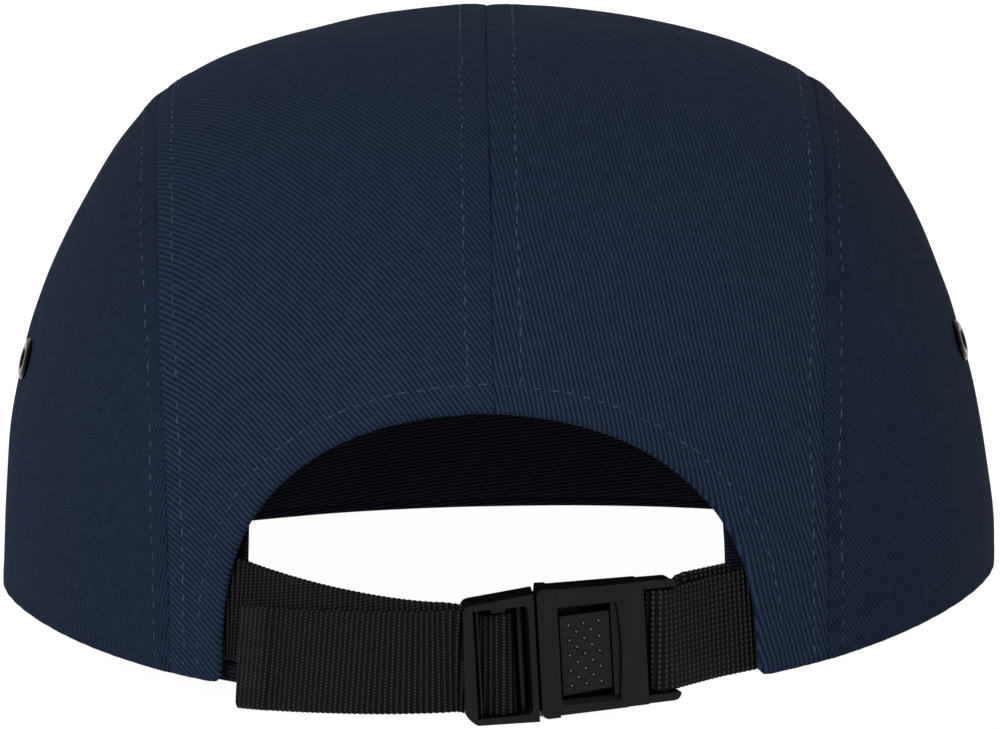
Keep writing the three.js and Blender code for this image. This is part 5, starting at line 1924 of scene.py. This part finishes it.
class Workbench:
    """Steps of modelling by hand, on sizes in millimetres, in a buckle half's own frame."""

    @staticmethod
    def deselect() -> None:
        """Leaves nothing selected."""
        bpy.ops.object.select_all(action="DESELECT")

    @staticmethod
    def take_up(shape: bpy.types.Object) -> None:
        """Makes one object the only one selected, and active.

        Args:
            shape: The object.
        """
        Workbench.deselect()
        shape.select_set(True)
        bpy.context.view_layer.objects.active = shape

    @staticmethod
    def block(x: tuple[float, float], out: tuple[float, float], z: tuple[float, float]) -> bpy.types.Object:
        """Adds a block by its limits along the half, out of its face, and up.

        Args:
            x: The limits along the half.
            out: The limits out of its face.
            z: The limits up.

        Returns:
            The block.
        """
        Workbench.deselect()
        place = ((x[0] + x[1]) / 2 * MM, -(out[0] + out[1]) / 2 * MM, (z[0] + z[1]) / 2 * MM)
        bpy.ops.mesh.primitive_cube_add(size=1.0, location=place)
        shape = bpy.context.object
        shape.scale = ((x[1] - x[0]) * MM, (out[1] - out[0]) * MM, (z[1] - z[0]) * MM)
        bpy.ops.object.transform_apply(location=True, rotation=True, scale=True)
        return shape

    @staticmethod
    def rod(x: float, out: float, radius: float, half_length: float) -> bpy.types.Object:
        """Adds an upright rod and rounds its rims.

        Args:
            x: The rod's place along the half.
            out: Its place out of the face.
            radius: Its radius.
            half_length: Half its length.

        Returns:
            The rod.
        """
        Workbench.deselect()
        bpy.ops.mesh.primitive_cylinder_add(
            vertices=24, radius=radius * MM, depth=2 * half_length * MM, location=(x * MM, -out * MM, 0)
        )
        bpy.ops.object.transform_apply(location=True, rotation=True, scale=True)
        return bpy.context.object

    @staticmethod
    def taper(shape: bpy.types.Object, left: float, right: float) -> None:
        """Scales the upright size of a block's left and right ends.

        Args:
            shape: The block.
            left: The scale of the end towards -x.
            right: The scale of the end towards +x.
        """
        Workbench.take_up(shape)
        bpy.ops.object.mode_set(mode="EDIT")
        bpy.context.tool_settings.mesh_select_mode = (True, False, False)
        mesh = bmesh.from_edit_mesh(shape.data)
        middle = sum(v.co.x for v in mesh.verts) / len(mesh.verts)
        for sign, factor in ((-1, left), (1, right)):
            bpy.ops.mesh.select_all(action="DESELECT")
            for vertex in mesh.verts:
                vertex.select = (vertex.co.x - middle) * sign > 0
            bmesh.update_edit_mesh(shape.data)
            bpy.ops.transform.resize(value=(1, 1, factor), center_override=(0, 0, 0))
            mesh = bmesh.from_edit_mesh(shape.data)
        bpy.ops.object.mode_set(mode="OBJECT")

    @staticmethod
    def round_corners(
        shape: bpy.types.Object,
        radius: float,
        segments: int,
        test: Callable[[Vector], bool],
        profile: float = 0.5,
    ) -> None:
        """Rounds the edges that run out of the face, where a test of their middles holds.

        Args:
            shape: The block to round.
            radius: The corners' radius.
            segments: How many faces make each corner.
            test: Takes an edge's middle in metres and says whether to round it.
            profile: How full the rounding is: 0.25 is a straight cut and 0.5 a true arc.
        """
        Workbench.take_up(shape)
        bpy.ops.object.mode_set(mode="EDIT")
        bpy.context.tool_settings.mesh_select_mode = (False, True, False)
        bpy.ops.mesh.select_all(action="DESELECT")
        mesh = bmesh.from_edit_mesh(shape.data)
        for edge in mesh.edges:
            a, b = edge.verts[0].co, edge.verts[1].co
            run = (b - a).normalized()
            edge.select = abs(run.y) > 0.93 and test((a + b) / 2)
        bmesh.update_edit_mesh(shape.data)
        bpy.ops.mesh.bevel(offset=radius * MM, segments=segments, profile=profile)
        bpy.ops.object.mode_set(mode="OBJECT")

    @staticmethod
    def nudge(
        shape: bpy.types.Object, test: Callable[[Vector], bool], shift: tuple[float, float, float]
    ) -> None:
        """Moves the corners of a shape where a test of their places holds.

        Args:
            shape: The shape to change.
            test: Takes a corner's place in metres and says whether to move it.
            shift: How far to move it, in millimetres.
        """
        Workbench.take_up(shape)
        bpy.ops.object.mode_set(mode="EDIT")
        bpy.context.tool_settings.mesh_select_mode = (True, False, False)
        bpy.ops.mesh.select_all(action="DESELECT")
        mesh = bmesh.from_edit_mesh(shape.data)
        for vertex in mesh.verts:
            vertex.select = test(vertex.co)
        bmesh.update_edit_mesh(shape.data)
        bpy.ops.transform.translate(value=tuple(step * MM for step in shift))
        bpy.ops.object.mode_set(mode="OBJECT")

    @staticmethod
    def bow(shape: bpy.types.Object, side: int, rise: float, half: float) -> None:
        """Slices one upright side of a block across and bows it along the half.

        Args:
            shape: The block.
            side: Which side is bowed, -1 for the left and 1 for the right.
            rise: How far its middle moves, in millimetres.
            half: The height above the middle where it stays put, in millimetres.
        """
        Workbench.take_up(shape)
        bpy.ops.object.mode_set(mode="EDIT")
        for height in np.linspace(-0.84, 0.84, 11) * half:
            bpy.ops.mesh.select_all(action="SELECT")
            bpy.ops.mesh.bisect(plane_co=(0, 0, height * MM), plane_no=(0, 0, 1))
        bpy.ops.object.mode_set(mode="OBJECT")
        limit = max(vertex.co.x * side for vertex in shape.data.vertices)
        for vertex in shape.data.vertices:
            if vertex.co.x * side > limit - 1e-6:
                share = min(abs(vertex.co.z) / (half * MM), 1.0)
                vertex.co.x += rise * MM * (1 - share * share)

    @staticmethod
    def combine(shape: bpy.types.Object, tool: bpy.types.Object, operation: str) -> None:
        """Joins a tool to a shape or cuts it away, and removes the tool.

        Args:
            shape: The shape that stays.
            tool: The shape that is used up.
            operation: UNION or DIFFERENCE.
        """
        Workbench.take_up(shape)
        modifier = shape.modifiers.new("combine", "BOOLEAN")
        modifier.operation = operation
        modifier.solver = "EXACT"
        modifier.object = tool
        bpy.ops.object.modifier_apply(modifier=modifier.name)
        bpy.data.objects.remove(tool)

    @staticmethod
    def soften(shape: bpy.types.Object, width: float, segments: int = 3, angle: float = 35.0) -> None:
        """Rounds every sharp edge of a shape a little.

        Args:
            shape: The shape.
            width: The width of the rounding, in millimetres.
            segments: Its segments.
            angle: The least angle of a sharp edge, in degrees.
        """
        Workbench.take_up(shape)
        modifier = shape.modifiers.new("soften", "BEVEL")
        modifier.width = width * MM
        modifier.segments = segments
        modifier.limit_method = "ANGLE"
        modifier.angle_limit = math.radians(angle)
        modifier.use_clamp_overlap = True
        bpy.ops.object.modifier_apply(modifier=modifier.name)

    @staticmethod
    def merge(shapes: list[bpy.types.Object], name: str) -> bpy.types.Object:
        """Joins finished shapes into one named object.

        Args:
            shapes: The shapes, which are used up.
            name: The new object's name.

        Returns:
            The joined object.
        """
        Workbench.take_up(shapes[0])
        for shape in shapes[1:]:
            shape.select_set(True)
        bpy.ops.object.join()
        shapes[0].name = name
        shapes[0].data.name = name
        return shapes[0]

    @staticmethod
    def seat(shape: bpy.types.Object, matrix: Matrix) -> None:
        """Moves a shape from the half's own frame to the row's, into its mesh.

        Args:
            shape: The shape, in metres.
            matrix: The turn and place of the half, in millimetres.
        """
        Workbench.take_up(shape)
        in_metres = Matrix.Scale(MM, 4) @ matrix @ Matrix.Scale(1 / MM, 4)
        shape.data.transform(Matrix.Translation(Vector(ROW_SHIFT) * MM) @ in_metres)
        bpy.ops.object.shade_smooth_by_angle(angle=math.radians(32))


@dataclass
class Buckle:
    """The side of the buckle with the slide and push tongue, and the side with the window."""

    material: bpy.types.Material
    slide_half: float = 7.0
    slide_left: float = 6.65
    slide_right: float = 6.75
    slide_left_height: float = 22.5
    slide_right_height: float = 23.6
    slide_face: float = 5.2
    slide_back: float = -1.2
    slide_top_fall: float = 0.35
    slide_right_rise: float = 0.5
    slide_foot_out: float = 0.7
    slide_back_inset: float = 1.1
    filler_slant: float = 1.25
    filler_lean: float = 0.75
    slide_window: tuple[float, float] = (-4.9, 5.55)
    open_half: float = 9.9
    bar_back: float = 2.8
    bar_radius: float = 0.95
    bar_x: float = 0.8
    bar_out: float = 1.9
    housing_half: float = 13.3
    housing_left_height: float = 23.6
    housing_right_height: float = 22.6
    housing_face: float = 3.5
    flange_end: float = -10.15
    flange_bow: float = 1.05
    flange_rise: float = 0.5
    back_inset: float = 2.3
    slot_length: float = 6.4
    bar_inset: float = 3.1
    arm_half: float = 2.5
    window: tuple[float, float] = (-9.7, 1.5)
    window_low: float = -9.05
    window_high: float = 8.35
    window_bow: float = 0.6
    sill_fall: float = 1.8
    step_x: float = 2.7
    step_bow: float = 1.25
    step_depth: float = 0.4
    tongue_x: float = -9.25
    tongue_length: float = 9.6
    tongue_left: float = 15.0
    tongue_right: float = 14.5
    tongue_recess: float = 1.0
    tongue_thickness: float = 1.6
    tongue_drop: float = 0.45
    tongue_slope: float = 0.056
    dot_column: float = 1.42
    dot_row: float = 2.82
    dot_radius: float = 0.34
    dimple_radius: float = 0.62
    clearance: float = 0.3

    def slide(self) -> bpy.types.Object:
        """Models the slide: a thick frame, its inner bars, a lip and the stub in its window.

        Returns:
            The slide, in the half's own frame.
        """
        open_half = self.open_half
        thick = (self.slide_back, self.slide_face)
        body = Workbench.block((-self.slide_left, self.slide_right), thick, (-12, 12))
        Workbench.taper(body, self.slide_left_height / 24, self.slide_right_height / 24)
        Workbench.nudge(body, lambda p: p.y < 0 and p.z > 0, (0, 0, -self.slide_top_fall))
        Workbench.nudge(body, lambda p: p.x > 0 and p.z > 0, (0, 0, self.slide_right_rise))
        Workbench.nudge(body, lambda p: p.x > 0 and p.z > 0 and p.y > 0, (self.filler_slant, 0, 0))
        Workbench.nudge(body, lambda p: p.x < 0 and p.z < 0, (-self.slide_foot_out, 0, 0))
        Workbench.nudge(body, lambda p: p.y > 0 and p.x < 0, (self.slide_back_inset, 0, 0))
        Workbench.round_corners(body, 2.4, 5, lambda p: p.x < 0 and p.z < 0, profile=0.34)
        Workbench.round_corners(body, 1.3, 5, lambda p: p.x < 0 and p.z > 0)
        left, right = self.slide_window
        window = Workbench.block((left, right), (-30, 30), (-open_half - 0.3, open_half))
        Workbench.round_corners(window, 0.9, 4, lambda p: p.x > 0)
        Workbench.combine(body, window, "DIFFERENCE")
        slot = Workbench.block((-30, left + 0.1), (-30, self.bar_back), (-open_half, open_half))
        Workbench.combine(body, slot, "DIFFERENCE")
        Workbench.soften(body, 0.45)
        rod = Workbench.rod(self.bar_x, self.bar_out, self.bar_radius, open_half + 0.6)
        ends = (-open_half - 0.5, open_half + 0.5)
        inner = Workbench.block((3.95, 5.2), (0.3, 2.7), ends)
        lip = Workbench.block((-4.05, -3.5), (3.0, 3.9), ends)
        web = Workbench.block((1.6, 5.9), (-1.2, -0.64), ends)
        stub = Workbench.block((-1.4, 1.5), (1.0, 4.75), (9.05, open_half + 0.4))
        for part, width in ((inner, 0.35), (lip, 0.18), (stub, 0.25)):
            Workbench.soften(part, width)
        filler = Workbench.block((6.3, 7.4), (-1.1, 3.3), (-10.2, 11.5))
        Workbench.nudge(filler, lambda p: p.z > 0, (self.filler_lean, 0, 0))
        Workbench.nudge(filler, lambda p: p.y > 0, (self.filler_slant, 0, 0))
        return Workbench.merge([body, rod, inner, lip, web, stub, filler], "buckle_slide_frame")

    def tongue(self) -> bpy.types.Object:
        """Models the push tongue: a plate whose face carries small bumps in dimples.

        Returns:
            The tongue, in the housing's own frame.
        """
        left = self.tongue_x
        length, columns, rows = self.tongue_length, 92, 138
        face = self.housing_face - self.tongue_recess
        Workbench.deselect()
        bpy.ops.mesh.primitive_grid_add(x_subdivisions=columns, y_subdivisions=rows, size=1.0)
        plate = bpy.context.object
        places = np.array([v.co[:] for v in plate.data.vertices])
        share = places[:, 0] + 0.5
        height = self.tongue_left + (self.tongue_right - self.tongue_left) * share
        x, z = left + length * share, places[:, 1] * height
        out = np.full(len(x), face)
        ridge_calm_and_painted_highlight = np.zeros(len(x))
        for column in range(5):
            for row in range(5 if column % 2 == 0 else 4):
                at_z = 5.5 - self.dot_row * (row + (0.5 if column % 2 else 0.0))
                at_x = left + 1.8 + self.dot_column * column
                far = np.hypot(x - at_x, z - at_z)
                out -= 0.16 * np.exp(-((far / self.dimple_radius) ** 4))
                out += 0.48 * np.sqrt(np.clip(1 - (far / self.dot_radius) ** 2, 0, None))
                # Painted highlight: a bright spot just up and to the left of each bump's top.
                from_highlight_centre = np.hypot(x - at_x + 0.06, z - at_z - 0.1)
                ridge_calm_and_painted_highlight += np.clip(1.2 - (from_highlight_centre / (0.6 * self.dot_radius)) ** 2, 0, 1)
        edge = np.minimum(0.5 - np.abs(places[:, 0]), (0.5 - np.abs(places[:, 1]))) * 14
        out -= 0.3 * (1 - np.sqrt(np.clip(1 - np.clip(1 - edge / 0.3, 0, 1) ** 2, 0, 1)))
        moved = np.stack([x, -out, z], axis=1) * MM
        plate.data.vertices.foreach_set("co", moved.astype(np.float32).ravel())
        # The painted highlight spots go into a point attribute for the plastic's material.
        highlight_layer = plate.data.attributes.new("ridge_calm_and_painted_highlight", "FLOAT", "POINT")
        highlight_layer.data.foreach_set("value", ridge_calm_and_painted_highlight.astype(np.float32))
        Workbench.take_up(plate)
        bpy.ops.object.mode_set(mode="EDIT")
        bpy.ops.mesh.select_all(action="SELECT")
        bpy.ops.mesh.region_to_loop()
        bpy.ops.mesh.extrude_region_move(TRANSFORM_OT_translate={"value": (0, self.tongue_thickness * MM, 0)})
        bpy.ops.mesh.edge_face_add()
        bpy.ops.mesh.select_all(action="SELECT")
        bpy.ops.mesh.normals_make_consistent(inside=False)
        bpy.ops.object.mode_set(mode="OBJECT")
        neck = Workbench.block((left - 5.0, left + 2.0), (face - 1.6, face - 0.6), (-6.8, 7.2))
        Workbench.soften(neck, 0.2)
        tongue = Workbench.merge([plate, neck], "tongue")
        slant = Matrix.Translation((0, 0, -self.tongue_drop * MM))
        slant[2][0] = self.tongue_slope
        tongue.data.transform(slant)
        return tongue

    def housing(self) -> bpy.types.Object:
        """Models the housing: a thick tapered box with a window, a mouth, two arms and a bar.

        Returns:
            The housing, in the half's own frame.
        """
        half, face, open_half = self.housing_half, self.housing_face, self.open_half
        slot_start = half - self.slot_length
        body = Workbench.block((-half - 1, half), (-face, face), (-12, 12))
        Workbench.taper(body, self.housing_left_height / 24, self.housing_right_height / 24)
        Workbench.round_corners(body, 1.4, 5, lambda p: p.x > 0)
        Workbench.nudge(body, lambda p: p.y > 0 and p.x < -0.0142, (self.back_inset, 0, 0))
        flange = Workbench.block((-half - 1, self.flange_end), (-face, face + self.flange_rise), (-12, 12))
        Workbench.taper(flange, 24.2 / 24, 24.0 / 24)
        Workbench.nudge(flange, lambda p: p.y > 0 and p.x < -0.0142, (self.back_inset, 0, 0))
        Workbench.bow(flange, 1, -self.flange_bow, 12.0)
        Workbench.combine(body, flange, "UNION")
        mouth = Workbench.block((-30, 2.9), (-face + 1.6, face - 0.8), (-9.1, 8.7))
        Workbench.combine(body, mouth, "DIFFERENCE")
        window = Workbench.block(self.window, (0, 30), (self.window_low, self.window_high))
        Workbench.bow(window, 1, self.window_bow, self.window_high)
        Workbench.combine(body, window, "DIFFERENCE")
        low = self.window_low
        sill_x = (self.window[0] + 0.2, self.window[1] + 0.1)
        sill = Workbench.block(sill_x, (face - 1.1, face + 1), (low, low + 2))
        Workbench.nudge(sill, lambda p: p.y < -0.004 and p.z < -0.008, (0, 0, -self.sill_fall))
        Workbench.combine(body, sill, "DIFFERENCE")
        slot = Workbench.block((slot_start, 30), (-30, 30), (-open_half, open_half))
        Workbench.combine(body, slot, "DIFFERENCE")
        step = Workbench.block((self.step_x, 30), (face - self.step_depth, 30), (-12, 12))
        Workbench.bow(step, -1, self.step_bow, 12.0)
        Workbench.combine(body, step, "DIFFERENCE")
        for out in ((self.arm_half, 30), (-30, -self.arm_half)):
            Workbench.combine(body, Workbench.block((slot_start, 30), out, (-30, 30)), "DIFFERENCE")
        room_x = (-30, self.slide_half + self.clearance)
        room = Workbench.block(room_x, (self.slide_back - self.clearance, 30), (-30, 30))
        matrix = HOUSING_SEAT.matrix().inverted() @ SLIDE_SEAT.matrix()
        room.data.transform(Matrix.Scale(MM, 4) @ matrix @ Matrix.Scale(1 / MM, 4))
        Workbench.combine(body, room, "DIFFERENCE")
        Workbench.round_corners(body, 1.3, 5, lambda p: p.x < -0.0125 and p.y < 0.0 and abs(p.z) > 0.0105)
        Workbench.soften(body, 0.42)
        ledge = Workbench.block((0.5, 2.8), (face - 1.9, face - 0.78), (-9.2, 8.8))
        Workbench.soften(ledge, 0.25)
        rod = Workbench.rod(half - self.bar_inset, 0, self.bar_radius, open_half + 0.5)
        return Workbench.merge([body, ledge, rod], "buckle_housing")

    def build(self) -> None:
        """Builds and dresses both halves."""
        tongue = self.tongue()
        to_slide = SLIDE_SEAT.matrix().inverted() @ HOUSING_SEAT.matrix()
        tongue.data.transform(Matrix.Scale(MM, 4) @ to_slide @ Matrix.Scale(1 / MM, 4))
        slide = Workbench.merge([self.slide(), tongue], "buckle_slide_half")
        Workbench.seat(slide, SLIDE_SEAT.matrix())
        settle(slide, self.material, "buckle_plastic", "buckle_slide")
        housing = self.housing()
        housing.name = "buckle_housing_half"
        Workbench.seat(housing, HOUSING_SEAT.matrix())
        settle(housing, self.material, "buckle_plastic", "buckle_housing")


# Eyelets


@dataclass
class Eyelet:
    """A small metal eyelet, turned from a ring by extruding it round its profile."""

    material: bpy.types.Material
    side: int
    radius: float = 4.0
    bore: float = 1.8
    barrel: float = 2.2
    flange: float = 0.7
    wall: float = 1.2
    clearance: float = 0.25

    def build(self) -> None:
        """Builds and dresses the eyelet."""
        rise, back = self.clearance, -self.wall - self.clearance
        profile = [
            (self.bore, back), (self.bore, rise + 0.25), (self.bore + 0.12, rise + 0.48),
            (self.bore + 0.4, rise + 0.64), (self.bore + 0.85, rise + self.flange),
            (self.radius - 0.75, rise + 0.6), (self.radius - 0.25, rise + 0.36), (self.radius, rise + 0.1),
            (self.radius - 0.1, rise - 0.1), (self.barrel, rise - 0.05), (self.barrel, back),
        ]
        Workbench.deselect()
        bpy.ops.mesh.primitive_circle_add(vertices=48, radius=self.bore * MM, location=(0, 0, back * MM))
        ring = bpy.context.object
        bpy.ops.object.transform_apply(location=True, rotation=True, scale=True)
        bpy.ops.object.mode_set(mode="EDIT")
        bpy.ops.mesh.select_all(action="SELECT")
        for (r0, h0), (r1, h1) in zip(profile[:-1], profile[1:]):
            bpy.ops.mesh.extrude_region_move(TRANSFORM_OT_translate={"value": (0, 0, (h1 - h0) * MM)})
            bpy.ops.transform.resize(value=(r1 / r0, r1 / r0, 1), center_override=(0, 0, h1 * MM))
        bpy.ops.mesh.extrude_region_move(TRANSFORM_OT_translate={"value": (0, 0, 0)})
        bpy.ops.transform.resize(
            value=(self.bore / self.barrel, self.bore / self.barrel, 1), center_override=(0, 0, back * MM)
        )
        bpy.ops.mesh.select_all(action="SELECT")
        bpy.ops.mesh.remove_doubles(threshold=1e-6)
        bpy.ops.mesh.normals_make_consistent(inside=False)
        bpy.ops.object.mode_set(mode="OBJECT")
        side = "left" if self.side < 0 else "right"
        ring.name = f"metal_eyelet_{side}"
        ring.data.transform(eyelet_place(eyelet_seat(self.side)))
        Workbench.take_up(ring)
        bpy.ops.object.shade_smooth_by_angle(angle=math.radians(50))
        settle(ring, self.material, "eyelet_metal", f"eyelet_{side}")


def main() -> None:
    """Builds the cap on its frame, dresses it, and sets up the studio."""
    logging.basicConfig(level=logging.INFO, format="%(name)s %(message)s")
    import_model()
    cloth = TwillCloth().material()
    thread = SewingThread().material()
    Crown(cloth, TwillCloth("navy_twill_sides", boldness=0.55).material(), thread).build()
    dark_thread = SewingThread("dark_thread", (0.009, 0.011, 0.016), (0.003, 0.003, 0.005)).material()
    Sweatband(RibbedBand().material(), dark_thread).build()
    Peak(cloth, thread).build()
    grid_webbing = StrapWebbing("black_webbing_grid", 0.0, yarn_pitch=1.0)
    Webbing(StrapWebbing().material(), grid_webbing.material()).build()
    Buckle(MouldedPlastic().material()).build()
    for side in (-1, 1):
        Eyelet(DarkNickel().material(), side).build()
    build_studio()


@dataclass(frozen=True)
class Lamp:
    """One square area light of the studio, in metres and watts."""

    name: str
    place: tuple[float, float, float]
    size: float
    power: float


LAMPS = (
    Lamp("key", (-0.9, -1.6, 1.5), 1.0, 46.0),
    Lamp("fill", (1.5, -1.2, 0.7), 1.4, 6.0),
    Lamp("spark", (-0.45, -1.7, 1.15), 0.16, 6.0),
)
LAMP_TARGET = (0, 0, 0.05)
SKY_STRENGTH = 0.7
FLOOR_HALF = 30.0
PAPER_GLOW = 0.98


@dataclass(frozen=True)
class PhotoCamera:
    """The photo's camera, as fitted to it, in metres, radians and pixels."""

    distance: float = 2.437
    elevation: float = math.radians(10.28)
    roll: float = math.radians(1.15)
    focal_pixels: float = 12794.0
    shown_at: tuple[float, float] = (498.2, 607.4)
    sensor_width: float = 36.0
    clip: tuple[float, float] = (0.1, 100.0)


def build_studio() -> None:
    """Sets up the pale floor, the soft lights and the camera."""
    scene = bpy.context.scene
    floor = bpy.data.meshes.new("floor")
    half = FLOOR_HALF
    floor_corners = [(-half, -half, 0), (half, -half, 0), (half, half, 0), (-half, half, 0)]
    floor.from_pydata(floor_corners, [], [(0, 1, 2, 3)])
    ground = bpy.data.objects.new("floor", floor)
    scene.collection.objects.link(ground)
    paper = NodeBoard("white_paper")
    paper.shader.inputs["Base Color"].default_value = (0.12, 0.12, 0.12, 1.0)
    paper.shader.inputs["Roughness"].default_value = 1.0
    paper.shader.inputs["Specular IOR Level"].default_value = 0.0
    paper.shader.inputs["Emission Color"].default_value = (1.0, 1.0, 1.0, 1.0)
    paper.shader.inputs["Emission Strength"].default_value = PAPER_GLOW
    floor.materials.append(paper.material)
    world = bpy.data.worlds.new("studio")
    world.use_nodes = True
    world.node_tree.nodes["Background"].inputs["Color"].default_value = (1.0, 1.0, 1.0, 1.0)
    world.node_tree.nodes["Background"].inputs["Strength"].default_value = SKY_STRENGTH
    scene.world = world
    for lamp in LAMPS:
        light = bpy.data.lights.new(lamp.name, "AREA")
        light.energy = lamp.power
        light.size = lamp.size
        stand = bpy.data.objects.new(lamp.name, light)
        stand.location = lamp.place
        aim = Vector(LAMP_TARGET) - Vector(lamp.place)
        stand.rotation_euler = aim.to_track_quat("-Z", "Y").to_euler()
        scene.collection.objects.link(stand)
    scene.view_settings.view_transform = "Standard"
    make_camera()


def make_camera() -> None:
    """Places the camera as the photo's was, by where the rim's middle shows in it."""
    scene = bpy.context.scene
    lens = PhotoCamera()
    elevation, roll = lens.elevation, lens.roll
    target = Vector((float(v) for v in ROW_SHIFT * MM))
    forward = Vector((0, math.cos(elevation), -math.sin(elevation)))
    level_up = Vector((0, math.sin(elevation), math.cos(elevation)))
    right = Vector((1, 0, 0)) * math.cos(roll) - level_up * math.sin(roll)
    up = Vector((1, 0, 0)) * math.sin(roll) + level_up * math.cos(roll)
    place = target - forward * lens.distance
    aside = (lens.shown_at[0] - IMAGE_WIDTH / 2) / lens.focal_pixels
    above = -(lens.shown_at[1] - IMAGE_HEIGHT / 2) / lens.focal_pixels
    forward = (forward - right * aside - up * above).normalized()
    right = (right - forward * right.dot(forward)).normalized()
    up = right.cross(forward)
    data = bpy.data.cameras.new("camera")
    data.sensor_width = lens.sensor_width
    data.lens = lens.focal_pixels / IMAGE_WIDTH * data.sensor_width
    data.clip_start, data.clip_end = lens.clip
    camera = bpy.data.objects.new("camera", data)
    camera.matrix_world = Matrix(
        (
            (right.x, up.x, -forward.x, place.x),
            (right.y, up.y, -forward.y, place.y),
            (right.z, up.z, -forward.z, place.z),
            (0, 0, 0, 1),
        )
    )
    scene.collection.objects.link(camera)
    scene.camera = camera


if __name__ == "__main__":
    main()
